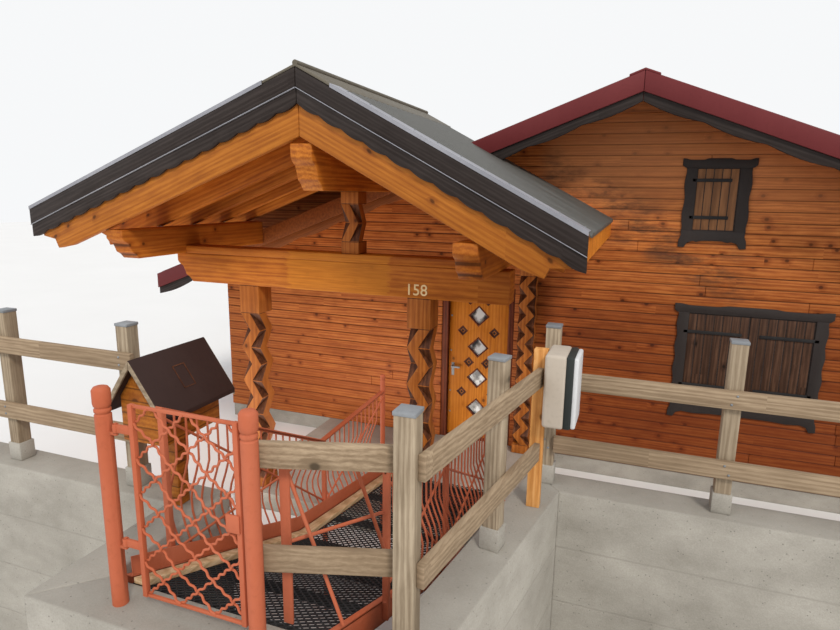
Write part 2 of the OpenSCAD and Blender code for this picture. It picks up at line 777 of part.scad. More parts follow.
module railing(x, out, line) {
    count = floor((line[2][0] - line[0][0] - 2 * rail_w) / baluster_gap);
    mid = x + out * rail_w / 2;
    color(steel_c) {
        along_x(min(x, x + out * rail_w), max(x, x + out * rail_w))
            polygon(concat([for (p = line) p], [for (i = [2 : -1 : 0]) line[i] - [0, rail_t_steel]]));
        for (p = [[line[0][0], deck_at(line[0][0]) - channel_h + kerb_h + 30], [line[1][0], 0], [line[2][0] - rail_w, 0]])
            block([min(x, x + out * rail_w), p[0], p[1]],
                  [max(x, x + out * rail_w), p[0] + rail_w, rail_at(line, p[0] + rail_w) - 4]);
        along_x(mid - baluster / 2, mid + baluster / 2)
            polygon([[line[0][0], deck_at(line[0][0]) + 60], [deck_y[1], deck_at(deck_y[1]) + 60],
                     [line[2][0], deck_z[2] + 60], [line[2][0], deck_z[2] + 40],
                     [deck_y[1], deck_at(deck_y[1]) + 40], [line[0][0], deck_at(line[0][0]) + 40]]);
        for (i = [1 : count]) {
            y = mix(line[0][0] + rail_w, line[2][0] - rail_w, i / (count + 1));
            belly_bar(mid, out, y, deck_at(y) + 45, rail_at(line, y) - rail_t_steel / 2);
        }
    }
}

// Gate posts with two turned grooves under a rounded head
module gate_post_at(x) {
    r = gate_post / 2;
    h = gate_post_h;
    translate([x, front_y - gate_out, street_z]) rotate_extrude($fn = 48)
        polygon([[0, 0], [r, 0], [r, h - 128], [r - 6, h - 121], [r, h - 114], [r, h - 102], [r - 6, h - 95],
                 [r, h - 88], [r + 3, h - 74], [r + 3, h - 16], [r - 6, h - 3], [r - 14, h], [0, h]]);
}

hinge_z = [street_z + 330, street_z + 880];
pin_x = gate_l + gate_post / 2 + 30;
module gate_posts() {
    color(steel_c) {
        gate_post_at(gate_l);
        gate_post_at(gate_r);
        for (z = hinge_z) {
            block([gate_l + gate_post / 2 - 5, -gate_out - 8, z - 36], [pin_x + 6, -gate_out + 8, z - 22]);
            upright(pin_x, -gate_out, z - 36, hinge_pin, 56);
        }
    }
}

gate_leaf_r = gate_r - gate_post / 2 - 12;
gate_leaf_l = gate_leaf_r - leaf_w;
gate_z0 = street_z + 80;
// One waved wire of the lattice, as a flat band that climbs to the right or to the left
function wave_points(n, side, way) = [
    for (i = [0 : 4 * n])
        let (t = i / 4, off = wave * sin(90 * i + 45) + side * wire / 2, l = norm([cell_w, cell_h]))
            [way * (t * cell_w / 2 - off * cell_h / l), t * cell_h / 2 + off * cell_w / l]
];
module wire_band(n, way) {
    a = wave_points(n, -1, way);
    b = wave_points(n, 1, way);
    polygon(concat(a, [for (i = [len(b) - 1 : -1 : 0]) b[i]]));
}

module lattice_outline() {
    inner_w = leaf_w - 2 * leaf_tube;
    inner_h = leaf_h - 2 * leaf_tube;
    rows = ceil(inner_h / cell_h);
    cols = ceil(inner_w / cell_w);
    intersection() {
        translate([-2, -2]) square([inner_w + 4, inner_h + 4]);
        union() for (k = [-rows - 1 : cols + 1]) {
            translate([k * cell_w, 0]) wire_band(2 * rows + 1, 1);
            translate([(k + rows) * cell_w, 0]) wire_band(2 * rows + 1, -1);
        }
    }
}

module gate_leaf() {
    color(steel_c) {
        along_y(-gate_out - leaf_tube / 2, -gate_out + leaf_tube / 2) difference() {
            translate([gate_leaf_l, gate_z0]) square([leaf_w, leaf_h]);
            translate([gate_leaf_l + leaf_tube, gate_z0 + leaf_tube])
                square([leaf_w - 2 * leaf_tube, leaf_h - 2 * leaf_tube]);
        }
        along_y(-gate_out - wire / 2, -gate_out + wire / 2)
            translate([gate_leaf_l + leaf_tube, gate_z0 + leaf_tube]) lattice_outline();
        for (z = hinge_z) difference() {
            union() {
                block([pin_x, -gate_out - 7, z - 22 + hinge_play], [gate_leaf_l + 2, -gate_out + 7, z + 16]);
                upright(pin_x, -gate_out, z - 22 + hinge_play, hinge_knuckle, 38 - hinge_play);
            }
            upright(pin_x, -gate_out, z - 50, hinge_pin + hinge_play, 100);
        }
    }
}

// Fence posts on the retaining wall and boards on their street side
run_r = [for (i = [0 : bays_r]) turn_p + [i * bay, 0]];
run_l = [for (i = [0 : bays_l]) left_p - [left_first + i * bay, 0]];
side_mid = (corner_p + turn_p) / 2;
module fence_post_at(p, turn) {
    translate([p[0], front_y + p[1], street_z]) rotate(turn) translate([-fence_post / 2, -fence_post / 2, 0])
        cube([fence_post, fence_post, fence_h]);
}

side_turn = atan2(turn_p[1] - corner_p[1], turn_p[0] - corner_p[0]) - 90;
module fence_posts() {
    color(grey_wood_c) {
        for (p = concat(run_r, run_l)) fence_post_at(p, 0);
        fence_post_at(corner_p, 0);
        fence_post_at(side_mid, side_turn);
    }
}

// Two boards from p to q, set off sideways, running past or stopping short at each end
board_low = 325;
board_high = 795;
board_low_r = 240;
board_high_r = 680;
rail_z = [street_z + board_low, street_z + board_high];
rail_z_r = [street_z + board_low_r, street_z + board_high_r];
module fence_rail(p, q, off, past_p, past_q, heights) {
    d = q - p;
    for (z = heights)
        translate([p[0], front_y + p[1], z]) rotate(atan2(d[1], d[0]))
            translate([-past_p, off, 0]) cube([norm(d) + past_p + past_q, rail_t, rail_h]);
}

// The boards beside the gate start this far behind its post, clear of the swinging leaf
rail_start = 10;
module fence_rails() {
    back = fence_post / 2;
    color(grey_wood_c) {
        fence_rail(run_r[0], run_r[bays_r], -back - rail_t, -back, wall_past / 2, rail_z_r);
        fence_rail(run_l[bays_l], run_l[0], -back - rail_t, wall_past / 2, wall_past / 2, rail_z);
        fence_rail([gate_r, -gate_out], corner_p, gate_post / 2, rail_start, -back - 5, rail_z);
        fence_rail(corner_p, turn_p, -back - rail_t, -back - rail_t, -parcel_off - 45, rail_z);
    }
}

// Small wooden letterbox hut on a post, with a steep dark roof of two boards
hut_x = left_p[0] - 70;
hut_y = -fence_left_out - 95;
hut_top = street_z + 960;
hut_pitch = 55;
hut_floor = street_z + 480;
hut_roof_t = 16;
hut_post = 90;
hut_over = 70;
module letterbox_hut() {
    x1 = hut_w / 2;
    wall_z = hut_top - tan(hut_pitch) * x1;
    color(beam_c) {
        block([hut_x - hut_post / 2, hut_y - hut_post / 2, street_z],
              [hut_x + hut_post / 2, hut_y + hut_post / 2, hut_floor + eps]);
        translate([hut_x, 0, 0]) along_y(hut_y - hut_d / 2, hut_y + hut_d / 2)
            polygon([[-x1, hut_floor], [x1, hut_floor], [x1, wall_z], [0, hut_top], [-x1, wall_z]]);
    }
}

module letterbox_roof() {
    x1 = hut_w / 2 + hut_over;
    t = hut_roof_t / cos(hut_pitch);
    color(dark_c) translate([hut_x, 0, 0]) along_y(hut_y - hut_d / 2 - hut_over, hut_y + hut_d / 2 + hut_over)
        for (s = [-1, 1]) polygon([[s * seam / 4, hut_top + slip - tan(hut_pitch) * seam / 4],
                                   [s * x1, hut_top + slip - tan(hut_pitch) * x1],
                                   [s * x1, hut_top - tan(hut_pitch) * x1 + t],
                                   [s * seam / 4, hut_top - tan(hut_pitch) * seam / 4 + t]]);
}

parcel_off = 370;
parcel_p = turn_p - [20, parcel_off];
parcel_drop = 70;
module parcel_box() {
    color(grey_wood_c) translate([parcel_p[0], front_y + parcel_p[1], street_z]) {
        translate([-40, -30, 0]) cube([80, 60, fence_h - parcel_drop]);
        translate([40, -140, fence_h - parcel_drop - parcel_h]) cube([190, 280, parcel_h]);
    }
}

plinth();
floors();
front_wall_left();
front_wall_right();
front_gable();
rear_wall();
side_wall(-1);  // left_wall
side_wall(1);  // right_wall
main_roof(-1);  // main_roof_left
main_roof(1);  // main_roof_right
main_ridge_cap();
main_verge_boards();
main_verge_trim();
window_casings();
window_shutters();
door_frame();
door_leaf();
door_glass();
porch_floor();
porch_post(0);  // porch_post_left
porch_post(1);  // porch_post_right
porch_rear_post();
head_beam();
head_plate();
king_post();
porch_purlins();
porch_rafters();
barge_boards();
porch_roof(-1);  // porch_roof_left
porch_roof(1);  // porch_roof_right
porch_verge_boards();
porch_ridge_cap();
porch_back_gable();
retaining_wall();
gangway_deck();
gangway_steps();
railing(-deck_l, -1, left_rail);  // railing_left
railing(-deck_r, 1, right_rail);  // railing_right
gate_posts();
gate_leaf();
fence_posts();
fence_rails();
letterbox_hut();
letterbox_roof();
parcel_box();
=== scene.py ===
import math
import random

import bmesh
import bpy
from mathutils import Matrix, Vector


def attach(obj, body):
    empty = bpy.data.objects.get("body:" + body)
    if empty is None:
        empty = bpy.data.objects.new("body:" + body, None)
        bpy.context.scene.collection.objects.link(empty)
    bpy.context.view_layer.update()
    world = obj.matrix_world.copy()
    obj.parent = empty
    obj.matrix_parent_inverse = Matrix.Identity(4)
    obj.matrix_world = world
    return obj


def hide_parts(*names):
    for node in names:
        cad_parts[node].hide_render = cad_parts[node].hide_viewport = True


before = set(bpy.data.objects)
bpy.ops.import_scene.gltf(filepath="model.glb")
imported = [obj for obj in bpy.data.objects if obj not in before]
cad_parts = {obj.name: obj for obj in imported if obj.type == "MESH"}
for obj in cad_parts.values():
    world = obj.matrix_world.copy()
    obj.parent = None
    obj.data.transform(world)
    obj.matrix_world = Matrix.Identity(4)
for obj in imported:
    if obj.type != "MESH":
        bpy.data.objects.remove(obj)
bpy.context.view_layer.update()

print("frame loaded")

# Main sizes of the house in metres, as the CAD part has them
house = {"front": -1.990, "halfWidth": 5.75, "depth": 9.0, "floor": 0.2, "head": 2.32, "ridge": 4.74,
         "slope": math.tan(math.radians(20.8)), "roof": 0.18, "eave": 6.4, "verge": 0.72}
porch = {"x": -2.59, "ridge": 4.47, "slopeLeft": math.tan(math.radians(20.8)),
         "slopeRight": math.tan(math.radians(28)), "left": -5.70, "right": -0.25, "slab": 0.19,
         "front": -5.09}


def corners(u0, v0, u1, v1):
    return [(u0, v0), (u1, v0), (u1, v1), (u0, v1)]


def linked(name, data):
    made = bpy.data.objects.new(name, data)
    bpy.context.scene.collection.objects.link(made)
    return made


def mainTop(x):
    return house["ridge"] - house["slope"] * abs(x)


def porchTop(x):
    away = x - porch["x"]
    return porch["ridge"] - (porch["slopeRight"] * away if away > 0 else -porch["slopeLeft"] * away)


# Camera: solved from the edges of the house in the 840 by 630 picture
cameraSettings = {"place": (0.1, -9.49, 3.5), "yaw": -20.05, "pitch": 11.49, "roll": 0.84, "focal": 600,
                  "width": 840}


def makeCamera(s):
    yaw, pitch, roll = (math.radians(s[k]) for k in ("yaw", "pitch", "roll"))
    level = Matrix(((math.cos(yaw), -math.sin(yaw), 0), (0, 0, -1), (math.sin(yaw), math.cos(yaw), 0)))
    nod = Matrix(((1, 0, 0), (0, math.cos(pitch), -math.sin(pitch)), (0, math.sin(pitch), math.cos(pitch))))
    lean = Matrix(((math.cos(roll), -math.sin(roll), 0), (math.sin(roll), math.cos(roll), 0), (0, 0, 1)))
    right, down, ahead = lean @ nod @ level
    made = linked("camera", bpy.data.cameras.new("camera"))
    turned = Matrix((right, -down, -ahead)).transposed().to_4x4()
    made.matrix_world = Matrix.Translation(s["place"]) @ turned
    made.data.sensor_width = 36
    made.data.lens = s["focal"] / s["width"] * 36
    made.data.clip_end = 200
    bpy.context.scene.camera = made


makeCamera(cameraSettings)


# Shader maths: a wrapped socket takes + - * and adds the Math nodes
class Socket:
    def __init__(self, paint, link):
        self.paint = paint
        self.link = link

    def maths(self, operation, first, second=None):
        return self.paint.node("ShaderNodeMath", {"operation": operation}, {0: first, 1: second})

    def __add__(self, other):
        return self.maths("ADD", self, other)

    def __radd__(self, other):
        return self.maths("ADD", other, self)

    def __sub__(self, other):
        return self.maths("SUBTRACT", self, other)

    def __rsub__(self, other):
        return self.maths("SUBTRACT", other, self)

    def __mul__(self, other):
        return self.maths("MULTIPLY", self, other)

    def __rmul__(self, other):
        return self.maths("MULTIPLY", other, self)

    def __truediv__(self, other):
        return self.maths("DIVIDE", self, other)

    def __abs__(self):
        return self.maths("ABSOLUTE", self)

    def whole(self):
        return self.maths("FLOOR", self)

    def below(self, limit):
        return self.maths("LESS_THAN", self, limit)

    def other(self, name):
        return Socket(self.paint, self.link.node.outputs[name])


class Paint:
    def __init__(self, name):
        self.material = bpy.data.materials.new(name)
        self.material.use_nodes = True
        self.tree = self.material.node_tree
        self.tree.nodes.clear()
        self.place = self.node("ShaderNodeTexCoord", out="Object")

    def node(self, kind, settings=None, values=None, out=0):
        made = self.tree.nodes.new(kind)
        for key, value in (settings or {}).items():
            if key == "stops":
                for i, (at, colour) in enumerate(value):
                    stop = made.color_ramp.elements[i] if i < 2 else made.color_ramp.elements.new(at)
                    stop.position = at
                    stop.color = (*colour, 1)
            else:
                setattr(made, key, value)
        for key, value in (values or {}).items():
            if isinstance(value, Socket):
                self.tree.links.new(value.link, made.inputs[key])
            elif value is not None:
                made.inputs[key].default_value = value
        return Socket(self, made.outputs[out])

    def axes(self):
        parts = self.node("ShaderNodeSeparateXYZ", None, {0: self.place})
        return parts, parts.other("Y"), parts.other("Z")

    def point(self, x, y, z=0.0):
        return self.node("ShaderNodeCombineXYZ", None, {0: x, 1: y, 2: z})

    def stretch(self, vector, scale):
        return self.node("ShaderNodeVectorMath", {"operation": "MULTIPLY"}, {0: vector, 1: scale})

    def noise(self, vector, scale, detail=4.0, rough=0.55):
        return self.node("ShaderNodeTexNoise", None,
                         {"Vector": vector, "Scale": scale, "Detail": detail, "Roughness": rough})

    def field(self, scales, detail=4.0, rough=0.55, vector=None):
        return self.noise(self.stretch(vector or self.place, scales), 1.0, detail, rough)

    def smooth(self, value, low, high):
        return self.node("ShaderNodeMapRange", {"interpolation_type": "SMOOTHSTEP"},
                         {0: value, 1: low, 2: high})

    def blend(self, factor, first, second, how="MIX"):
        first, second = ((*c, 1) if isinstance(c, tuple) else c for c in (first, second))
        return self.node("ShaderNodeMix", {"data_type": "RGBA", "blend_type": how},
                         {0: factor, 6: first, 7: second}, 2)

    def ramp(self, value, stops):
        return self.node("ShaderNodeValToRGB", {"stops": stops}, {0: value})

    def relief(self, height, distance, strength):
        values = {"Strength": strength, "Distance": distance, "Height": height}
        return self.node("ShaderNodeBump", None, values, "Normal")

    def surface(self, colour, rough, normal=None, metallic=0.0, fixed=None):
        values = {"Base Color": colour, "Roughness": rough, "Normal": normal, "Metallic": metallic}
        values.update(fixed or {})
        shader = self.node("ShaderNodeBsdfPrincipled", None, values)
        output = self.tree.nodes.new("ShaderNodeOutputMaterial")
        self.tree.links.new(shader.link, output.inputs["Surface"])
        return self.material


def dimmed(colour, share):
    return tuple(c * share for c in colour)


# Timber: fibres and growth bands along the grain, knots, a tone for each board and old stain
def timber(name, tones, along="x", pitch=0.16, base=0.0, length=3.0, knots=0.1, grain=1.0, gloss=0.5,
           stain=0.35, patch=None, seam=0.0):
    paint = Paint(name)
    x, y, z = paint.axes()
    straight = {"x": (x, z, y), "y": (y, z, x), "z": (z, x, y), "flat": (x, y, z)}
    if along in straight:
        u, v, w = straight[along]
    elif along == "porchSlope":
        leftSide = x.below(porch["x"])
        fall = porch["slopeRight"] - (porch["slopeRight"] - porch["slopeLeft"]) * leftSide
        u, v, w = x, z + abs(x - porch["x"]) * fall, y
    elif along == "mainSlope":
        u, v, w = x, z + abs(x) * house["slope"], y
    elif along == "round":
        u, v, w = x + y, z, x - y
    else:
        side = y.below(-5.74) * (1 - y.below(-7.40)) * (1 - x.below(-1.2))
        u, v, w = x + (y - x) * side, z, y + (x - y) * side
    level = (v - base) / pitch
    row = level.whole()
    rowTone = paint.node("ShaderNodeTexWhiteNoise", {"noise_dimensions": "1D"}, {"W": row * 1.7 + 0.3})
    step = ((u + rowTone * length) / length).whole()
    tone = paint.node("ShaderNodeTexWhiteNoise", {"noise_dimensions": "2D"},
                      {"Vector": paint.point(row, step)})
    shifted = paint.point(u + tone * 9, v + rowTone * 2, w)
    fibre = paint.field((4 * grain, 80 * grain, 80 * grain), 6, 0.6, shifted)
    mottle = paint.field((3, 10, 10), 5, 0.68, shifted)
    growth = paint.node("ShaderNodeTexWave", {"bands_direction": "Y"},
                        {"Vector": paint.stretch(shifted, (0.5 * grain, 8 * grain, 8 * grain)), "Scale": 1.0,
                         "Distortion": 8.0, "Detail": 3.0, "Detail Scale": 1.2, "Detail Roughness": 0.6}, "Fac")
    cells = paint.node("ShaderNodeTexVoronoi", {"voronoi_dimensions": "2D"},
                       {"Vector": paint.point((u + rowTone * 5) * 5.5, v / 0.15), "Scale": 1.0,
                        "Randomness": 0.9}, "Distance")
    warped = cells + (mottle - 0.5) * 0.12
    chosen = paint.node("ShaderNodeSeparateColor", None, {0: cells.other("Color")}).below(knots)
    knot = (1 - paint.smooth(warped, 0.06, 0.16)) * chosen
    halo = (1 - paint.smooth(warped, 0.10, 0.44)) * chosen
    figure = fibre * 0.42 + mottle * 0.42 + growth * 0.16 - halo * 0.16
    colour = paint.ramp(figure, [(0.34, tones[0]), (0.5, tones[1]), (0.64, tones[2])])
    colour = paint.blend(paint.smooth(tone, 0.3, 1.0) * 0.4, colour, tones[0])
    colour = paint.blend(knot * 0.8, colour, dimmed(tones[0], 0.22))
    cloud = paint.smooth(paint.noise(paint.stretch(paint.place, (0.9, 0.9, 1.7)), 1.3, 5, 0.6), 0.5, 0.75)
    colour = paint.blend(cloud * stain, colour, dimmed(tones[0], 0.45))
    if seam:
        edge = abs(level - row - 0.5)
        dirt = paint.smooth(edge, 0.5 - seam / pitch, 0.5 - 0.35 * seam / pitch)
        colour = paint.blend(dirt * (0.15 + mottle * 0.95), colour, dimmed(tones[0], 0.2))
    if patch:
        colour = patch(paint, colour, x, y, z, fibre)
    height = fibre * 0.55 + growth * 0.25 - knot * 0.5
    return paint.surface(colour, 0.28 + fibre * 0.25 + cloud * 0.1 + (1 - gloss) * 0.3,
                         paint.relief(height, 0.0014, 0.4), fixed={"Specular IOR Level": 0.17})


# Painted metal: faded clouds, dust, fine orange peel and worn specks
def coated(name, colour, faded, worn, rough=0.4, metallic=0.0, streaks=(1.0, 1.0, 0.25), specks=0.68,
           patch=None):
    paint = Paint(name)
    cloud = paint.smooth(paint.noise(paint.stretch(paint.place, streaks), 2.6, 6, 0.62), 0.35, 0.75)
    dust = paint.noise(paint.place, 34, 4, 0.6)
    chips = paint.smooth(paint.noise(paint.place, 85, 5, 0.7), specks, specks + 0.05)
    shade = paint.blend(cloud * 0.7, colour, faded)
    shade = paint.blend(paint.smooth(dust, 0.5, 0.8) * 0.22, shade, dimmed(colour, 0.5))
    shade = paint.blend(chips * 0.8, shade, worn)
    if patch:
        shade = patch(paint, shade, *paint.axes(), dust)
    return paint.surface(shade, rough + cloud * 0.14 + dust * 0.12 + chips * 0.2,
                         paint.relief(dust * 0.5 - chips * 0.6, 0.0012, 0.35), metallic=metallic,
                         fixed={"Specular IOR Level": 0.2})


def concrete(name, light, dark):
    paint = Paint(name)
    x, y, z = paint.axes()
    cloud = paint.noise(paint.stretch(paint.place, (1, 1, 1.6)), 1.8, 7, 0.62)
    grit = paint.noise(paint.place, 95, 4, 0.7)
    pits = paint.node("ShaderNodeTexVoronoi", None, {"Vector": paint.place, "Scale": 26.0}, "Distance")
    hole = 1 - paint.smooth(pits, 0.05, 0.14)
    lift = z / 0.4
    course = paint.smooth(abs(lift - (lift + 0.5).whole()), 0.0, 0.03)
    middle = tuple((a + b) / 2 for a, b in zip(light, dark))
    shade = paint.ramp(cloud * 0.7 + grit * 0.3, [(0.3, dark), (0.5, middle), (0.68, light)])
    shade = paint.blend(hole * 0.6, shade, dimmed(dark, 0.4))
    shade = paint.blend((1 - course) * 0.35, shade, dark)
    return paint.surface(shade, 0.78 + grit * 0.18,
                         paint.relief(grit * 0.5 + cloud * 0.5 - hole * 0.6 + course * 0.4, 0.006, 0.6))


# Old rolled glass: its uneven colour, from dark to near white, is painted reflection of a bright sky and a dark
# hill
def clearGlass(name):
    paint = Paint(name)
    waves = paint.field((7, 7, 5), 3, 0.5)
    # Painted reflection: dark hill, grey and bright sky set in the colour of the waves
    colour = paint.ramp(waves, [(0.42, (0.05, 0.055, 0.06)), (0.5, (0.30, 0.29, 0.28)),
                                (0.56, (0.82, 0.84, 0.84))])
    return paint.surface(colour, 0.06 + waves * 0.06, paint.relief(waves, 0.004, 0.3),
                         fixed={"Transmission Weight": 0.2, "IOR": 1.45, "Specular IOR Level": 0.8})


# The head beam carries one paler new length let into the old timber
def newLength(paint, colour, x, y, z, fibre):
    ragged = paint.field((5, 5, 16), 4, 0.7) * 0.24
    inside = paint.smooth(x + ragged, -3.20, -3.14) * (1 - paint.smooth(x + ragged, -2.06, -2.02))
    fresh = paint.ramp(fibre, [(0.3, (0.40, 0.125, 0.010)), (0.7, (0.56, 0.20, 0.018))])
    return paint.blend(inside * 0.8, colour, fresh)


# Front boards: darker and redder towards the bottom; right of the porch, painted shade on the lower boards,
# painted light on the upper gable, and a dark stain where snow slides against them
def paintedLightAndSnowStain(paint, colour, x, y, z, fibre):
    edge = z - (porch["ridge"] - porch["slopeRight"] * (x - porch["x"]))
    right = paint.smooth(x, -1.2, -0.9) * y.below(0.0)
    near = (1 - paint.smooth(abs(edge - 0.1), 0.05, 0.55)) * right * (1 - paint.smooth(x, 0.9, 1.6))
    streak = paint.smooth(paint.field((1.6, 1.6, 5), 6, 0.7), 0.40, 0.66)
    # Darker and redder towards the bottom of the boards
    colour = paint.blend((1 - paint.smooth(z, 0.8, 2.1)) * 0.4, colour, (0.24, 0.048, 0.010))
    # Painted shade: the lower boards right of the porch are multiplied darker
    colour = paint.blend((1 - paint.smooth(z, 1.9, 3.0)) * right, colour, (0.60, 0.50, 0.46), "MULTIPLY")
    # Painted light: the upper gable right of the porch is made lighter
    colour = paint.blend(paint.smooth(z, 2.9, 4.0) * right * 0.45, colour, (0.62, 0.26, 0.105))
    return paint.blend(near * streak * 0.85, colour, (0.040, 0.024, 0.016))


# Inside the porch the verge of the main roof is boarded over in brown
def insidePorch(paint, colour, x, y, z, fibre):
    under = (z + x * porch["slopeRight"]).below(porch["ridge"] + porch["x"] * porch["slopeRight"] - 0.06)
    span = x.below(-0.9) * (1 - x.below(-5.05)) * y.below(-1.9)
    brown = paint.ramp(fibre, [(0.35, (0.19, 0.055, 0.013)), (0.65, (0.30, 0.090, 0.020))])
    return paint.blend(under * span * 0.94, colour, brown)


# The attic shutter has bleached to a lighter orange-brown between its boards
def sunBleach(paint, colour, x, y, z, fibre):
    high = 1 - z.below(2.8)
    worn = paint.smooth(paint.field((14, 14, 2), 4, 0.6), 0.35, 0.7)
    return paint.blend(high * (0.40 + worn * 0.5), colour, (0.30, 0.138, 0.058))


boardTones = ((0.27, 0.068, 0.014), (0.45, 0.132, 0.028), (0.60, 0.205, 0.048))
beamTones = ((0.28, 0.072, 0.009), (0.44, 0.130, 0.014), (0.56, 0.190, 0.024))
bargeTones = ((0.27, 0.078, 0.010), (0.38, 0.120, 0.014), (0.48, 0.168, 0.022))
# The porch soffit boards' own golden orange, made lighter still as painted light thrown up by the snow
litSoffitTones = ((0.48, 0.135, 0.011), (0.68, 0.215, 0.020), (0.80, 0.295, 0.038))
postTones = ((0.23, 0.062, 0.010), (0.34, 0.102, 0.016), (0.44, 0.145, 0.026))
darkTimberTones = ((0.055, 0.018, 0.008), (0.100, 0.033, 0.013), (0.155, 0.054, 0.022))
doorTones = ((0.40, 0.117, 0.008), (0.53, 0.172, 0.012), (0.62, 0.225, 0.021))
jambTones = ((0.060, 0.013, 0.006), (0.125, 0.028, 0.012), (0.200, 0.050, 0.020))
darkTones = ((0.018, 0.012, 0.010), (0.031, 0.023, 0.020), (0.046, 0.035, 0.031))
shutterTones = ((0.034, 0.016, 0.009), (0.068, 0.032, 0.018), (0.110, 0.054, 0.030))
fenceTones = ((0.21, 0.155, 0.100), (0.31, 0.240, 0.162), (0.42, 0.335, 0.235))
palerTones = ((0.40, 0.25, 0.12), (0.56, 0.38, 0.21), (0.70, 0.51, 0.31))
railTones = ((0.21, 0.145, 0.088), (0.30, 0.215, 0.135), (0.40, 0.295, 0.19))
paleTones = ((0.45, 0.18, 0.045), (0.60, 0.27, 0.075), (0.72, 0.37, 0.13))

rowPitch = 0.1212
# Timber: tones, run of the grain, board pitch, first board, board length, share of knots, fineness, the rest
timberLooks = {
    "boardsX": (boardTones, "x", rowPitch, house["floor"], 3.4, 0.16, {"patch": paintedLightAndSnowStain, "seam": 0.011}),
    "boardsY": (boardTones, "y", rowPitch, house["floor"], 3.4, 0.16, {"seam": 0.011}),
    "beamX": (beamTones, "x", 0.31, 2.51, 9.0, 0.08, 0.8, {"stain": 0.2, "patch": newLength}),
    "beamY": (beamTones, "y", 0.4, 2.5, 9.0, 0.08, 0.8, {"stain": 0.3}),
    "postZ": (postTones, "z", 0.3, -4.0, 9.0, 0.06, 0.8, {"stain": 0.2}),
    "darkTimberZ": (darkTimberTones, "z", 0.3, -4.0, 9.0, 0.0, 0.8, {"stain": 0.2}),
    "barge": (bargeTones, "porchSlope", 0.36, 3.94, 6.0, 0.12, 0.8, {"stain": 0.12}),
    "rafter": (beamTones, "porchSlope", 0.36, 3.94, 6.0, 0.12, 0.8, {"stain": 0.2}),
    "soffit": (litSoffitTones, "flat", 0.1, 0.0, 2.8, 0.16, {"stain": 0.1, "seam": 0.006}),
    "mainSoffit": (beamTones, "flat", 0.12, 0.0, 2.8, 0.1, {"stain": 0.2}),
    "doorZ": (doorTones, "z", 0.2, -2.228, 3.0, 0.08, 0.9, {"stain": 0.12}),
    "jamb": (jambTones, "z", 0.08, 0.0, 3.0, 0.0, {"stain": 0.2}),
    "darkX": (darkTones, "x", 0.13, 0.0, 3.0, 0.0, {"gloss": 0.45, "stain": 0.2}),
    "darkPorch": (darkTones, "porchSlope", 0.16, 4.15, 3.0, 0.0, {"gloss": 0.45, "stain": 0.2}),
    "darkMain": (darkTones, "mainSlope", 0.15, 4.4, 3.0, 0.0,
                 {"gloss": 0.45, "stain": 0.2, "patch": insidePorch}),
    "shutterZ": (shutterTones, "z", 0.09, 0.0, 3.0, 0.05, {"gloss": 0.4, "stain": 0.2, "patch": sunBleach}),
    "fenceX": (railTones, "fence", 0.5, 1.3, 2.2, 0.05, 1.5, {"gloss": 0.1, "stain": 0.3}),
    "fenceZ": (fenceTones, "z", 0.5, 0.25, 4.0, 0.05, 1.5, {"gloss": 0.1, "stain": 0.3}),
    "paleZ": (paleTones, "z", 0.3, 0.0, 3.0, 0.05, {"gloss": 0.3, "stain": 0.1}),
    "paleY": (palerTones, "y", 0.3, 0.0, 3.0, 0.05, {"gloss": 0.2, "stain": 0.2}),
    "hutX": (bargeTones, "round", 0.075, 0.0, 1.0, 0.2, {"stain": 0.1, "seam": 0.007}),
    "greyX": (fenceTones, "round", 0.3, 0.0, 3.0, 0.0, {"gloss": 0.1, "stain": 0.3}),
}
# Coats: colour, faded, worn, roughness, metallic, streaks, level of the chips, the rest
coatLooks = {
    "redSheet": ((0.135, 0.020, 0.021), (0.160, 0.028, 0.029), (0.20, 0.07, 0.06), 0.45,
                 {"specks": 0.78, "patch": insidePorch}),
    "greySheet": ((0.085, 0.083, 0.074), (0.145, 0.142, 0.130), (0.10, 0.08, 0.06), 0.42, 0.2,
                  (0.6, 3, 0.6), 0.72, {}),
    "capSheet": ((0.115, 0.098, 0.072), (0.17, 0.15, 0.115), (0.08, 0.06, 0.04), 0.5, 0.1,
                 (0.6, 3, 0.6), 0.7, {}),
    "casing": ((0.028, 0.022, 0.020), (0.042, 0.034, 0.031), (0.085, 0.055, 0.040), 0.5, {"specks": 0.8}),
    "brightStrip": ((0.26, 0.26, 0.285), (0.38, 0.38, 0.41), (0.2, 0.18, 0.16), 0.4, 0.2,
                    (0.6, 3, 0.6), 0.76, {}),
    "orangeSteel": ((0.44, 0.104, 0.044), (0.52, 0.155, 0.082), (0.24, 0.060, 0.030), 0.5, {}),
    "darkSteel": ((0.022, 0.021, 0.021), (0.045, 0.042, 0.040), (0.09, 0.06, 0.045), 0.5, 0.2, {}),
    "grating": ((0.020, 0.020, 0.021), (0.042, 0.042, 0.042), (0.09, 0.06, 0.045), 0.5, 0.3, {}),
    "zinc": ((0.20, 0.21, 0.22), (0.34, 0.35, 0.36), (0.14, 0.13, 0.12), 0.42, 0.3, {}),
    "hutRoof": ((0.030, 0.014, 0.011), (0.042, 0.021, 0.017), (0.06, 0.035, 0.025), 0.45, {"specks": 0.8}),
    "parcelGrey": ((0.44, 0.375, 0.305), (0.51, 0.44, 0.355), (0.25, 0.23, 0.21), 0.45, {"specks": 0.8}),
    "parcelPale": ((0.58, 0.58, 0.58), (0.64, 0.64, 0.63), (0.40, 0.39, 0.37), 0.4, {"specks": 0.8}),
    "parcelDark": ((0.020, 0.024, 0.022), (0.035, 0.04, 0.037), (0.08, 0.08, 0.08), 0.4, {"specks": 0.8}),
    "brass": ((0.74, 0.54, 0.27), (0.82, 0.66, 0.40), (0.4, 0.25, 0.12), 0.35, 0.1, {"specks": 0.78}),
}
finish = {name: timber(name, *look[:-1], **look[-1]) for name, look in timberLooks.items()}
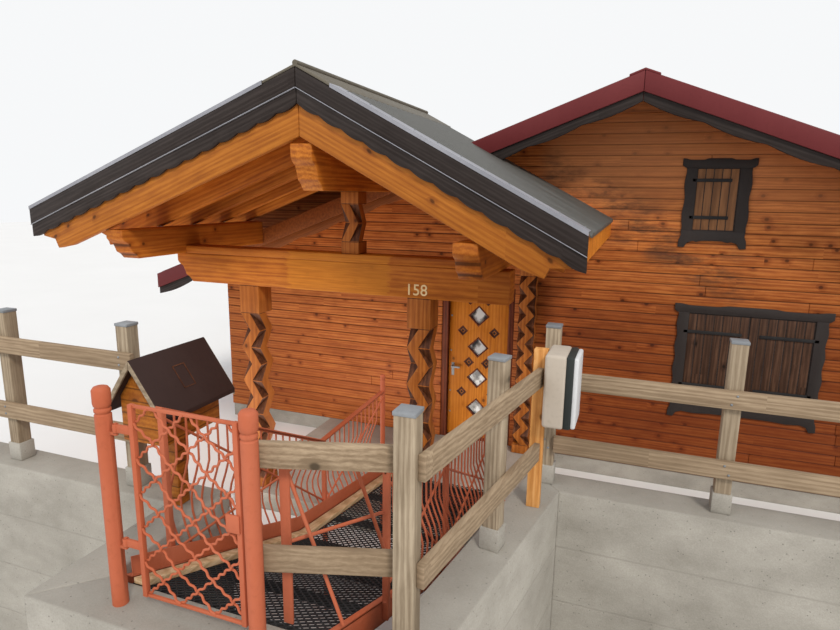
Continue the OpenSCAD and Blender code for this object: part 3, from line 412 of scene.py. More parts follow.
finish.update((name, coated(name, *look[:-1], **look[-1])) for name, look in coatLooks.items())
finish["concrete"] = concrete("concreteWall", (0.44, 0.41, 0.355), (0.23, 0.21, 0.175))
finish["glass"] = clearGlass("doorPane")
print("finishes made:", len(finish))


def meshFrom(name, shape):
    data = bpy.data.meshes.new(name)
    shape.to_mesh(data)
    shape.free()
    return data


# Solids: outlines drawn out along an axis, gathered in one mesh
class Solids:
    def __init__(self):
        self.mesh = bmesh.new()

    def between(self, low, high):
        a = [self.mesh.verts.new(p) for p in low]
        b = [self.mesh.verts.new(p) for p in high]
        self.mesh.faces.new(a[::-1])
        self.mesh.faces.new(b)
        for i in range(len(a)):
            j = (i + 1) % len(a)
            self.mesh.faces.new((a[i], a[j], b[j], b[i]))

    def drawn(self, outline, axis, start, end):
        at = "xyz".index(axis)
        self.between(*[[(*p[:at], t, *p[at:]) for p in outline] for t in (start, end)])

    def box(self, low, high):
        self.drawn(corners(*low[:2], *high[:2]), "z", low[2], high[2])

    def turned(self, centre, profile, sides=28, hollow=False):
        turns = [math.tau * i / sides for i in range(sides)]
        rings = [[self.mesh.verts.new((centre[0] + radius * math.cos(t), centre[1] + radius * math.sin(t), z))
                  for t in turns] for radius, z in profile]
        for a, b in zip(rings, rings[1:] + (rings[:1] if hollow else [])):
            for i in range(sides):
                j = (i + 1) % sides
                self.mesh.faces.new((a[i], a[j], b[j], b[i]))
        if not hollow:
            self.mesh.faces.new(rings[0][::-1])
            self.mesh.faces.new(rings[-1])

    def made(self, name, material, bevel=0.0, body="building", slot=None, replaces=(), segments=2):
        bmesh.ops.recalc_face_normals(self.mesh, faces=self.mesh.faces)
        return finished(name, meshFrom(name, self.mesh), material, bevel, body, replaces, segments)


def baked(piece):
    shown = piece.evaluated_get(bpy.context.evaluated_depsgraph_get())
    data = bpy.data.meshes.new_from_object(shown)
    piece.modifiers.clear()
    piece.data = data


def settled(piece, body, replaces=()):
    piece.data.polygons.foreach_set("use_smooth", [True] * len(piece.data.polygons))
    piece.data.set_sharp_from_angle(angle=math.radians(38))
    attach(piece, body)
    if replaces:
        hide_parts(*replaces)
    return piece


def finished(name, data, material, bevel, body, replaces=(), segments=2):
    data.materials.clear()
    data.materials.append(material)
    piece = linked(name, data)
    if bevel:
        edge = piece.modifiers.new("edge", "BEVEL")
        edge.width = bevel
        edge.segments = segments
        edge.limit_method = "ANGLE"
        edge.angle_limit = math.radians(30)
        baked(piece)
    return settled(piece, body, replaces)


# A CAD node's own shape with its edges eased, as worked timber and folded sheet have them
def eased(node, material, bevel, body="building", segments=2):
    shape = bmesh.new()
    shape.from_mesh(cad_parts[node].data)
    bmesh.ops.remove_doubles(shape, verts=shape.verts, dist=2e-5)
    bmesh.ops.dissolve_limit(shape, angle_limit=math.radians(1), verts=shape.verts, edges=shape.edges)
    bmesh.ops.recalc_face_normals(shape, faces=shape.faces)
    name = node + "Eased"
    return finished(name, meshFrom(name, shape), material, bevel, body, (node,), segments)


def coat(node, material):
    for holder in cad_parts[node].material_slots:
        holder.material = material


# Geometry Nodes: trees with named inputs, each ending in Realize Instances and Set Material
def newTree(name, inputs):
    tree = bpy.data.node_groups.new(name, "GeometryNodeTree")
    tree.interface.new_socket("Geometry", in_out="INPUT", socket_type="NodeSocketGeometry")
    tree.interface.new_socket("Geometry", in_out="OUTPUT", socket_type="NodeSocketGeometry")
    for label, kind in inputs:
        tree.interface.new_socket(label, in_out="INPUT", socket_type="NodeSocket" + kind)
    return tree


def treeNode(tree, kind, values=None, settings=None):
    made = tree.nodes.new(kind)
    for key, value in (settings or {}).items():
        setattr(made, key, value)
    for key, value in (values or {}).items():
        if isinstance(value, bpy.types.NodeSocket):
            tree.links.new(value, made.inputs[key])
        else:
            made.inputs[key].default_value = value
    return made


def closeTree(tree, geometry, material):
    real = treeNode(tree, "GeometryNodeRealizeInstances", {"Geometry": geometry})
    coloured = treeNode(tree, "GeometryNodeSetMaterial", {"Geometry": real.outputs[0], "Material": material})
    end = tree.nodes.new("NodeGroupOutput")
    tree.links.new(coloured.outputs[0], end.inputs[0])


def rowTree():
    tree = newTree("rowOfPieces", (("Count", "Int"), ("Step", "Vector"), ("Material", "Material")))
    start = tree.nodes.new("NodeGroupInput").outputs
    line = treeNode(tree, "GeometryNodeMeshLine", {"Count": start["Count"], "Offset": start["Step"]})
    copies = treeNode(tree, "GeometryNodeInstanceOnPoints",
                      {"Points": line.outputs[0], "Instance": start["Geometry"]})
    closeTree(tree, copies.outputs[0], start["Material"])
    return tree


def rodTree():
    tree = newTree("roundRods", (("Radius", "Float"), ("Sides", "Int"), ("Material", "Material")))
    start = tree.nodes.new("NodeGroupInput").outputs
    curve = treeNode(tree, "GeometryNodeMeshToCurve", {"Mesh": start["Geometry"]})
    ring = treeNode(tree, "GeometryNodeCurvePrimitiveCircle",
                    {"Resolution": start["Sides"], "Radius": start["Radius"]})
    tube = treeNode(tree, "GeometryNodeCurveToMesh",
                    {"Curve": curve.outputs[0], "Profile Curve": ring.outputs[0], "Fill Caps": True})
    closeTree(tree, tube.outputs[0], start["Material"])
    return tree


def studTree():
    tree = newTree("studs", (("Radius", "Float"), ("Height", "Float"), ("Material", "Material")))
    start = tree.nodes.new("NodeGroupInput").outputs
    head = treeNode(tree, "GeometryNodeMeshUVSphere", {"Segments": 10, "Rings": 6, "Radius": 1.0})
    aim = treeNode(tree, "GeometryNodeInputNamedAttribute", {"Name": "aim"}, {"data_type": "FLOAT_VECTOR"})
    turn = treeNode(tree, "FunctionNodeAlignRotationToVector", {"Vector": aim.outputs[0]}, {"axis": "Z"})
    size = treeNode(tree, "ShaderNodeCombineXYZ",
                    {0: start["Radius"], 1: start["Radius"], 2: start["Height"]})
    copies = treeNode(tree, "GeometryNodeInstanceOnPoints",
                      {"Points": start["Geometry"], "Instance": head.outputs[0], "Rotation": turn.outputs[0],
                       "Scale": size.outputs[0]})
    closeTree(tree, copies.outputs[0], start["Material"])
    return tree


trees = {"row": rowTree(), "rods": rodTree(), "studs": studTree()}


def grown(name, data, tree, values, body="building", replaces=()):
    piece = linked(name, data)
    modifier = piece.modifiers.new(tree.name, "NODES")
    modifier.node_group = tree
    for item in tree.interface.items_tree:
        if item.in_out == "INPUT" and item.name in values:
            modifier[item.identifier] = values[item.name]
    baked(piece)
    return settled(piece, body, replaces)


def eachAlong(name, solids, material, count, step, bevel=0.0):
    bmesh.ops.recalc_face_normals(solids.mesh, faces=solids.mesh.faces)
    if bevel:
        bmesh.ops.bevel(solids.mesh, geom=solids.mesh.edges, offset=bevel, segments=2, profile=0.5,
                        affect="EDGES")
    values = {"Count": count, "Step": step, "Material": material}
    return grown(name, meshFrom(name, solids.mesh), trees["row"], values)


def rods(name, paths, radius, material, sides=8, body="building", slot=None, replaces=()):
    data = bpy.data.meshes.new(name)
    points = [p for path in paths for p in path]
    edges = []
    first = 0
    for path in paths:
        edges += [(first + i, first + i + 1) for i in range(len(path) - 1)]
        first += len(path)
    data.from_pydata(points, edges, [])
    values = {"Radius": radius, "Sides": sides, "Material": material}
    return grown(name, data, trees["rods"], values, body, replaces)


def studs(name, places, radius, height, material, body="building"):
    data = bpy.data.meshes.new(name)
    data.from_pydata([p for p, _ in places], [], [])
    aim = data.attributes.new("aim", "FLOAT_VECTOR", "POINT")
    aim.data.foreach_set("vector", [c for _, a in places for c in a])
    return grown(name, data, trees["studs"], {"Radius": radius, "Height": height, "Material": material}, body)


# Wall boards: rounded logs in rows, butted at random places and cut round the openings
wallBoards = {"proud": 0.014, "sunk": 0.004, "joint": 0.003, "bevel": 0.007, "short": 2.3, "long": 4.6,
              "seed": 11, "gable": 4.42, "side": 2.37}
windows = {"front": [(1.328, 1.11, 1.274, 1.08), (4.05, 1.11, 1.274, 1.08), (0.839, 3.128, 0.426, 0.69)],
           "rear": [(x, 1.11, 1.274, 1.08) for x in (-3.9, 0.0, 3.9)]
           + [(x, 3.128, 0.426, 0.69) for x in (-0.839, 0.839)],
           "side": [(0.53, 1.11, 1.274, 1.08), (4.49, 1.11, 1.274, 1.08)]}


def rowSpans(start, end, low, high, holes):
    spans = [(start, end)]
    for a, b, c, d in holes:
        if low < d - 0.002 and high > c + 0.002:
            spans = [s for x0, x1 in spans for s in ((x0, min(x1, a)), (max(x0, b), x1)) if s[1] - s[0] > 0.03]
    return spans


def onWall(solids, place, ring, inner, outer):
    solids.between(*[[place(u, v, out) for u, v in ring] for out in (inner, outer)])


def boardedWall(view, reach, top, holes, material, cut=None):
    name, place, joint = view + "Boards", views[view], wallBoards["joint"]
    chance = random.Random(wallBoards["seed"] + len(name))
    solids = Solids()
    low = house["floor"]
    while low < top - 0.03:
        high = min(low + rowPitch, top)
        ends = (reach[0], reach[1]) if cut is None else (-cut(high), cut(high))
        for x0, x1 in rowSpans(ends[0], ends[1], low, high, holes):
            at = x0
            while x1 - at > 0.02:
                to = at + chance.uniform(wallBoards["short"], wallBoards["long"])
                if x1 - to < 0.6:
                    to = x1
                wideA = cut(low) if cut and at == ends[0] else -at
                wideB = cut(low) if cut and to == ends[1] else to
                ring = [(-wideA, low), (wideB - joint, low), (to - joint, high), (at, high)]
                onWall(solids, place, ring, -wallBoards["sunk"], wallBoards["proud"])
                at = to
        low += rowPitch
    return solids.made(name, material, wallBoards["bevel"], slot="cladding", segments=3)


def wallHoles(kind):
    return [(x - w / 2, x + w / 2, z, z + h) for x, z, w, h in windows[kind]]


frontY, rearY = house["front"], house["front"] + house["depth"]
doorHole = (-2.314, -1.346, 0.0, house["head"])
gableCut = lambda z: min(house["halfWidth"] + 0.014, (house["ridge"] - house["roof"] - z) / house["slope"])
views = {"front": lambda u, v, out: (u, frontY - out, v), "rear": lambda u, v, out: (u, rearY + out, v),
         "left": lambda u, v, out: (-house["halfWidth"] - out, u, v),
         "right": lambda u, v, out: (house["halfWidth"] + out, u, v)}
boardedWall("front", None, wallBoards["gable"], wallHoles("front") + [doorHole], finish["boardsX"], gableCut)
boardedWall("rear", None, wallBoards["gable"], wallHoles("rear"), finish["boardsX"], gableCut)
for view in ("left", "right"):
    boardedWall(view, (frontY, rearY), wallBoards["side"], wallHoles("side"), finish["boardsY"])
plainNodes = {"boardsX": ("front_wall_left", "front_wall_right", "front_gable", "rear_wall",
                          "porch_back_gable"),
              "boardsY": ("left_wall", "right_wall"), "mainSoffit": ("floors",),
              "concrete": ("plinth", "porch_floor")}
for look, nodes in plainNodes.items():
    for node in nodes:
        coat(node, finish[look])
print("walls boarded")

# Roofs: ribbed red sheet over the house, waved grey sheet over the porch, boards under both
sheets = {"ribPitch": 0.2, "ribHeight": 0.022, "ribWide": 0.05, "wavePitch": 0.13, "waveHeight": 0.024,
          "board": 0.1, "mainBoard": 0.12, "boardThick": 0.012}


def slopeSolid(top, x0, x1, outline):
    solids = Solids()
    solids.between([(x0, y, top(x0) + z) for y, z in outline], [(x1, y, top(x1) + z) for y, z in outline])
    return solids


mainFront, mainRear = frontY - house["verge"], rearY + house["verge"]


def boardOutline(y, wide, under):
    return [(y, -under - sheets["boardThick"]), (y, -under + 0.004), (y + wide - 0.002, -under + 0.004),
            (y + wide - 0.002, -under - sheets["boardThick"])]


start, end = mainFront + 0.06, mainFront + 0.06 + sheets["ribWide"]
rib = [(start, -0.01), (start + 0.012, sheets["ribHeight"]), (end - 0.012, sheets["ribHeight"]), (end, -0.01)]
ribCount = int((mainRear - mainFront - 0.06) / sheets["ribPitch"])
for side, label in ((-1, "Left"), (1, "Right")):
    eachAlong("mainRibs" + label, slopeSolid(mainTop, side * 0.05, side * (house["eave"] - 0.001), rib),
              finish["redSheet"], ribCount, (0, sheets["ribPitch"], 0), 0.0)
    board = boardOutline(mainFront + 0.03, sheets["mainBoard"], house["roof"])
    eachAlong("mainSoffit" + label, slopeSolid(mainTop, side * 0.02, side * (house["eave"] - 0.02), board),
              finish["mainSoffit"], int((mainRear - mainFront - 0.06) / sheets["mainBoard"]),
              (0, sheets["mainBoard"], 0), 0.003)

wave = [(porch["front"] + 0.04 + sheets["wavePitch"] * k / 6,
         sheets["waveHeight"] * math.sin(math.pi * k / 6) ** 0.8 if 0 < k < 6 else 0.0) for k in range(7)]
wave += [(wave[-1][0], -0.012), (wave[0][0], -0.012)]
waveCount = int((frontY - porch["front"] - 0.04) / sheets["wavePitch"])
for end, label in ((porch["left"] - 0.02, "Left"), (porch["right"] + 0.02, "Right")):
    start = porch["x"] + (0.02 if end > porch["x"] else -0.02)
    eachAlong("porchWaves" + label, slopeSolid(porchTop, start, end, wave), finish["greySheet"], waveCount,
              (0, sheets["wavePitch"], 0), 0.0)
    board = boardOutline(porch["front"] + 0.09, sheets["board"], porch["slab"])
    tail = end - math.copysign(0.07, end - porch["x"])
    eachAlong("porchSoffit" + label, slopeSolid(porchTop, start, tail, board), finish["soffit"],
              int((frontY - porch["front"] - 0.09) / sheets["board"]), (0, sheets["board"], 0), 0.003)
for side in ("left", "right"):
    coat("main_roof_" + side, finish["redSheet"])
    coat("porch_roof_" + side, finish["soffit"])
eased("main_ridge_cap", finish["redSheet"], 0.006)
eased("main_verge_boards", finish["redSheet"], 0.005)
eased("main_verge_trim", finish["darkMain"], 0.004)
eased("porch_ridge_cap", finish["capSheet"], 0.006)
rods("porchRidgeRoll", [[(porch["x"], y, porch["ridge"] + 0.028) for y in (porch["front"] - 0.008, frontY)]],
     0.024, finish["capSheet"], 14, slot="grey_sheet")

# The lower verge boards of the porch are sawn in short waves
sawn = {"wave": 0.2, "depth": 0.02, "thick": 0.03, "high": 0.274}
waved = Solids()
for end in (porch["left"], porch["right"]):
    start = porch["x"] + math.copysign(0.003, end - porch["x"])
    steps = round(abs(end - start) / sawn["wave"]) * 8
    line = [(start + (end - start) * i / steps, math.sin(math.pi * (i % 8) / 8)) for i in range(steps + 1)]
    waved.drawn([(x, porchTop(x) - sawn["high"] - sawn["depth"] * s) for x, s in line]
                + [(end, porchTop(end) - 0.001), (start, porchTop(start) - 0.001)], "y", porch["front"],
                porch["front"] + sawn["thick"])
waved.made("porchVergeWaved", finish["darkPorch"], 0.003, slot="dark_timber",
           replaces=("porch_verge_boards",))

# Folded edges: a raised upper board and a metal strip on the porch verge, lips on the main verge
verge = {"upper": 0.155, "proud": 0.012, "strip": 0.17, "lip": 0.006, "cap": 0.31}


def pitched(solids, top, start, end, low, high, y0, y1):
    solids.drawn([(x, top(x) + lift) for x, lift in corners(start, low, end, high)], "y", y0, y1)


solids, strip = Solids(), Solids()
for end in (porch["left"], porch["right"]):
    near = porch["x"] + math.copysign(0.003, end - porch["x"])
    past = porch["x"] + math.copysign(verge["cap"], end - porch["x"])
    upper, proud = verge["upper"], verge["proud"]
    edges = ((solids, near, -upper, -0.004, -proud, 0.005),
             (strip, past, 0.022, 0.026, -0.016, verge["strip"]),
             (strip, past, -verge["lip"], 0.026, -0.017, -0.013),
             (strip, near, -upper - 0.004, -upper + 0.002, -proud - 0.003, 0.002))
    for target, start, low, high, y0, y1 in edges:
        pitched(target, porchTop, start, end, low, high, porch["front"] + y0, porch["front"] + y1)
solids.made("porchVergeUpper", finish["darkPorch"], 0.004, slot="dark_timber")
strip.made("porchVergeStrip", finish["brightStrip"], slot="grey_sheet")
lips = Solids()
for end in (-house["eave"], house["eave"]):
    for y0, y1 in ((mainFront - 0.0295, mainFront), (mainRear, mainRear + 0.0295)):
        start = -1.02 if y1 < 0 and end < 0 else math.copysign(0.003, end)
        for depth in (0.2, 0.016):
            pitched(lips, mainTop, start, end, -depth, 0.016 - depth, y0, y1)
lips.made("mainVergeLips", finish["redSheet"], 0.002, slot="red_sheet")
screwX = [porch["x"] + start + step * i for start, step, count in ((0.4, 0.19, 11), (-0.4, -0.24, 12))
          for i in range(count)]
studs("stripScrews", [((x, porch["front"] + 0.13, porchTop(x) + 0.027), (0, 0, 1)) for x in screwX], 0.009,
      0.006, finish["zinc"])
print("roofs covered")

# Porch timber: the CAD shapes with eased edges
for node, look, ease in (("head_beam", "beamX", 0.008), ("head_plate", "beamX", 0.006),
                         ("porch_purlins", "beamY", 0.008), ("porch_rafters", "rafter", 0.006),
                         ("barge_boards", "barge", 0.006)):
    eased(node, finish[look], ease)

# Carved posts: two ribbons zigzag through each other, their slanted faces given a darker copy of the timber as
# painted shade
carving = {"ribbon": 0.50, "ease": 0.005, "sawn": (0.3, 0.97), "smallest": 0.0004}
# node, x, y, side, foot level, head level, head and foot blocks, wave, way of the first turn
carved = (("porch_post_left", -3.78, -4.07, 0.24, 0.2, 2.51, 0.3, 0.12, 0.36, -1),
          ("porch_post_right", -1.85, -4.07, 0.24, 0.2, 2.51, 0.3, 0.12, 0.36, 1),
          ("porch_rear_post", -1.165, -2.0925, 0.205, 0.2, 2.82, 0.3, 0.12, 0.25, 1),
          ("king_post", -2.59, -4.07, 0.19, 2.9, 3.5055, 0.12, 0.12, 0.36, -1))


def zigzag(middle, wide, low, high, wave, start):
    steps = max(2, round((high - low) / (wave / 2)))
    sway, half = start * wide * (1 - carving["ribbon"]) / 2, wide * carving["ribbon"] / 2
    line = [(low + (high - low) * i / steps, sway * (-1) ** (steps - i)) for i in range(steps + 1)]
    return [(middle + s + half, z) for z, s in line] + [(middle + s - half, z) for z, s in reversed(line)]


for node, x, y, wide, low, high, head, foot, wave, start in carved:
    post = Solids()
    half = wide / 2
    post.box((x - half, y - half, high - head), (x + half, y + half, high))
    post.box((x - half, y - half, low), (x + half, y + half, low + foot))
    post.drawn(zigzag(x, wide, low + foot, high - head, wave, start), "y", y - half, y + half)
    post.drawn(zigzag(y, wide, low + foot, high - head, wave, start), "x", x - half, x + half)
    piece = post.made(node + "Carved", finish["postZ"], carving["ease"], slot="beam_timber", replaces=(node,))
    # Painted shade: faces whose normals slope within the carving's sawn range take the darker timber
    piece.data.materials.append(finish["darkTimberZ"])
    for face in piece.data.polygons:
        if carving["sawn"][0] < abs(face.normal.z) < carving["sawn"][1] and face.area > carving["smallest"]:
            face.material_index = 1
print("porch dressed")

# Windows: wavy casings and boarded shutters with strap hinges and studs
shutters = {"board": 0.088, "thick": 0.022, "strapHigh": 0.036, "strapThick": 0.012, "gap": 0.004,
            "seam": 0.008, "strapLevels": (0.19, 0.78), "studs": (0.08, 0.36, 0.64, 0.92)}
casing = {"wide": 0.115, "head": 0.10, "ear": 0.045, "sill": 0.115, "foot": 0.185, "out": 0.034,
          "wave": 0.016, "turns": (0.03, 0.1125, 0.28, 0.36)}


# Height of the wavy head, from 0 to 1, at a share of its width
def headWave(t):
    fallFrom, fallTo, riseFrom, riseTo = casing["turns"]
    if t < fallFrom or t > riseTo:
        return 1.0
    if t < fallTo:
        return 0.5 + 0.5 * math.cos(math.pi * (t - fallFrom) / (fallTo - fallFrom))
    return 0.0 if t < riseFrom else 0.5 - 0.5 * math.cos(math.pi * (t - riseFrom) / (riseTo - riseFrom))


def casingParts(x0, x1, z0, z1, s):
    middle, wide = (x0 + x1) / 2, x1 - x0 + 2 * (s["wide"] + s["ear"])

    def mirrored(half):
        return half + [(2 * middle - u, v) for u, v in reversed(half)]

    left = x0 - s["wide"]
    steps = [i / 40 for i in range(20, -1, -1)]
    top = [(left - s["ear"] + wide * t, z1 + s["head"] - 0.014 + 0.016 * headWave(t)) for t in steps]
    top += [(left - s["ear"], z1 + 0.03), (left - s["ear"] * 0.4, z1 + 0.004), (left, z1)]
    foot = [(left, z0), (left + 0.006, z0 - 0.05), (left - 0.016, z0 - 0.11), (left - 0.02, z0 - s["foot"]),
            (left + 0.045, z0 - s["foot"] - 0.006), (left + 0.075, z0 - s["sill"] - 0.02),
            (x0 + 0.02, z0 - s["sill"])]
    foot += [(x0 + (middle - x0) * t, z0 - s["sill"] - 0.012 * math.sin(math.pi * min(1, t * 2)) + 0.006 * t)
             for t in (0.25, 0.5, 0.75, 1.0)]
    waves = max(2, round((z1 - z0) / 0.3)) * 8
    side = [(left - s["wave"] * (0.5 - 0.5 * math.cos(2 * math.pi * i / 8)) + 0.006,
             z1 + (z0 - z1) * i / waves) for i in range(1, waves)]
    outer = [(left, z1)] + side + [(left, z0)]
    return [mirrored(top), mirrored(foot), outer + [(x0, z0), (x0, z1)],
            [(2 * middle - u, v) for u, v in outer + [(x0, z0), (x0, z1)]]]


casings, boards, straps, heads = Solids(), Solids(), Solids(), []
strapFace = shutters["thick"] + shutters["strapThick"]
for view, place in views.items():
    for x, z, w, h in windows["side" if view in ("left", "right") else view]:
        for ring in casingParts(x - w / 2, x + w / 2, z, z + h, casing):
            onWall(casings, place, ring, -0.002, casing["out"])
        leaves = 2 if w > 0.7 else 1
        aim = Vector(place(0, 0, 1)) - Vector(place(0, 0, 0))
        for leaf in range(leaves):
            left = x - w / 2 + leaf * w / leaves + shutters["gap"]
            right = left + w / leaves - 2 * shutters["gap"]
            count = round((right - left) / shutters["board"])
            wide = (right - left) / count
            for k in range(count):
                start, end = left + k * wide, left + (k + 1) * wide - shutters["seam"]
                onWall(boards, place, corners(start, z + 0.012, end, z + h - 0.012), 0.012, shutters["thick"])
            inner = left + 0.1 if leaf == 1 else left - 0.05
            outer = right + 0.05 if leaf == 1 else right - 0.07
            for level in [z + h * part for part in shutters["strapLevels"]]:
                ring = corners(inner, level, outer, level + shutters["strapHigh"])
                onWall(straps, place, ring, shutters["thick"] - 0.002, strapFace)
                middle = level + shutters["strapHigh"] / 2
                heads += [(place(inner + (outer - inner) * t, middle, strapFace), tuple(aim))
                          for t in shutters["studs"]]
casings.made("casings", finish["casing"], 0.004, slot="dark_timber", replaces=("window_casings",))
boards.made("shutterBoards", finish["shutterZ"], 0.004, slot="dark_timber")
straps.made("shutterStraps", finish["darkSteel"], 0.003, slot="dark_timber")
studs("shutterStuds", heads, 0.006, 0.004, finish["darkSteel"])
coat("window_shutters", finish["darkX"])
print("windows dressed")

# Door: eased leaf, mouldings round the panes, stepped recesses, lever handle and bolts
door = {"x": -1.83, "face": frontY + 0.06, "back": frontY + 0.12, "first": 1.918, "step": 0.427,
        "recessX": (0.120, 0.215, 0.120, 0.210), "moulding": (0.118, 0.143),
        "rings": ((0.054, 0.073), (0.037, 0.054), (0.020, 0.037), (0.001, 0.020)), "plateX": (-2.188, -2.148),
        "plateZ": (1.07, 1.25), "plateThick": 0.006, "boltX": -2.20, "boltZ": (0.55, 0.85, 1.42, 1.9)}
leaf = eased("door_leaf", finish["doorZ"], 0.002, "door")
leaf.data.materials.append(finish["zinc"])
for face in leaf.data.polygons:
    if not door["face"] - 0.0008 < face.center.y < door["back"] + 0.0008:
        face.material_index = 1
eased("door_frame", finish["jamb"], 0.004)
coat("door_glass", finish["glass"])


def diamondRing(solids, x, z, inner, outer, y0, y1):
    turns = ((0, -1), (1, 0), (0, 1), (-1, 0))
    for a, b in zip(turns, turns[1:] + turns[:1]):
        ring = [(x + inner * a[0], z + inner * a[1]), (x + outer * a[0], z + outer * a[1]),
                (x + outer * b[0], z + outer * b[1]), (x + inner * b[0], z + inner * b[1])]
        solids.drawn(ring, "y", y0, y1)


mouldings, darkSteps, lightSteps = Solids(), Solids(), Solids()
for i, reach in enumerate(door["recessX"]):
    z = door["first"] - i * door["step"]
    diamondRing(mouldings, door["x"], z, *door["moulding"], door["face"] - 0.006, door["face"] + 0.018)
    for side in (-1, 1):
        x = door["x"] + side * reach
        for k, (inner, outer) in enumerate(door["rings"]):
            target = (mouldings, darkSteps, lightSteps, darkSteps)[k]
            diamondRing(target, x, z + door["step"] / 2, inner, outer, door["face"] - 0.003 + 0.005 * k,
                        door["face"] + 0.0198)
mouldings.made("doorMouldings", finish["jamb"], 0.0015, "door", "beam_timber")
darkSteps.made("doorRecesses", finish["darkX"], 0.001, "door", "dark_timber")
lightSteps.made("doorRecessRims", finish["postZ"], 0.001, "door", "beam_timber")
plates = Solids()
(x0, x1), (z0, z1) = door["plateX"], door["plateZ"]
for y in (door["face"] - door["plateThick"], door["back"]):
    plates.box((x0, y, z0), (x1, y + door["plateThick"], z1))
plates.made("doorPlates", finish["zinc"], 0.002, "door")
studs("doorBolts", [((door["boltX"], door["face"], z), (0, -1, 0)) for z in door["boltZ"]], 0.013, 0.007,
      finish["zinc"], "door")
print("door dressed")

# House number of brass figures on the head beam
number = {"words": "158", "high": 0.112, "place": (-1.874, -4.19, 2.588), "thick": 0.006}


def houseNumber(s):
    curve = bpy.data.curves.new("houseNumber", "FONT")
    curve.body = s["words"]
    curve.size = s["high"] * 1.35
    curve.align_x, curve.align_y = "CENTER", "CENTER"
    curve.extrude = s["thick"] / 2
    curve.bevel_depth = 0.001
    holder = linked("houseNumberCurve", curve)
    data = bpy.data.meshes.new_from_object(holder.evaluated_get(bpy.context.evaluated_depsgraph_get()))
    bpy.data.objects.remove(holder)
    data.transform(Matrix.Translation(s["place"]) @ Matrix.Rotation(math.radians(90), 4, "X"))
    finished("houseNumber", data, finish["brass"], 0.0, "building")


houseNumber(number)

# Gangway: orange channels, an open mesh deck of crossed bars, belly railings
gangway = {"left": -2.15, "right": -1.0, "y": (-7.50, -5.99, -4.29), "z": (1.6, 1.0, 0.72), "channel": 0.04,
           "mesh": 0.05, "bar": 0.010, "deep": 0.005, "plate": 0.1,
           "bearers": (-7.46, -7.0, -6.5, -6.02, -5.5, -4.9, -4.34)}


deckLine = list(zip(gangway["y"], gangway["z"]))


# Height of a line of three points at a place along it
def lineAt(line, y):
    (y0, z0), (y1, z1), (y2, z2) = line
    return z0 + (z1 - z0) * (y - y0) / (y1 - y0) if y < y1 else z1 + (z2 - z1) * (y - y1) / (y2 - y1)


def deckAt(y):
    return lineAt(deckLine, y)


def band(line, up, down):
    return [(y, z + up) for y, z in line] + [(y, z - down) for y, z in reversed(line)]


steel = {"material": finish["orangeSteel"], "slot": "orange_steel"}
channels = Solids()
for x in (gangway["left"], gangway["right"] - gangway["channel"]):
    inward = 1 if x < -2 else -1
    web = x if inward > 0 else x + gangway["channel"] - 0.008
    channels.drawn(band(deckLine, 0.04, 0.09), "x", web, web + 0.008)
    for up, down in ((0.04, -0.032), (-0.082, 0.09)):
        channels.drawn(band(deckLine, up, down), "x", x, x + gangway["channel"])
bearers, curb = Solids(), Solids()
for y in gangway["bearers"]:
    bearers.box((gangway["left"] + 0.008, y, deckAt(y) - 0.075),
                (gangway["right"] - 0.008, y + 0.03, deckAt(y) - 0.028))
bearers.made("gangwayBearers", finish["darkSteel"], 0.0015, slot="orange_steel")
channels.drawn(band(deckLine, 0.045 + gangway["plate"], -0.045), "x", gangway["left"] + 0.040,
               gangway["left"] + 0.045)
curb.drawn(band(deckLine, 0.034, 0.0), "x", gangway["left"] + 0.048, gangway["left"] + 0.125)
curb.made("gangwayCurb", finish["paleY"], 0.004, slot="weathered_timber")
channels.made("gangwayChannels", bevel=0.0015, replaces=("gangway_deck",), **steel)

bars = Solids()
x0, x1 = gangway["left"] + gangway["channel"], gangway["right"] - gangway["channel"]
wide = x1 - x0
for ya, yb in zip(gangway["y"], gangway["y"][1:]):
    count = int((yb - ya + wide) / gangway["mesh"])
    for k in range(count):
        for lean in (1, -1):
            c = ya - wide + (k + 0.5) * gangway["mesh"]
            t0, t1 = max(0.0, (ya - c) / wide), min(1.0, (yb - c) / wide)
            if t1 - t0 < 0.02:
                continue
            ends = [(x0 + t * wide if lean > 0 else x1 - t * wide, c + t * wide, deckAt(c + t * wide))
                    for t in (t0, t1)]
            thick, deep = gangway["bar"] / 2, gangway["deep"]
            bars.between(*[[(x, *c) for c in corners(y - thick, z, y + thick, z - deep)] for x, y, z in ends])
bars.made("gangwayMesh", finish["grating"], slot="orange_steel")
eased("gangway_steps", finish["orangeSteel"], 0.003)
print("gangway laid")

railings = {"left": [(-7.19, 2.4), (-5.51, 1.55), (-4.29, 1.59)],
            "right": [(-6.99, deckAt(-6.99) + 0.78), (-5.99, 1.78), (-4.29, 1.55)],
            "rod": 0.0065, "step": 0.085, "belly": 0.075}


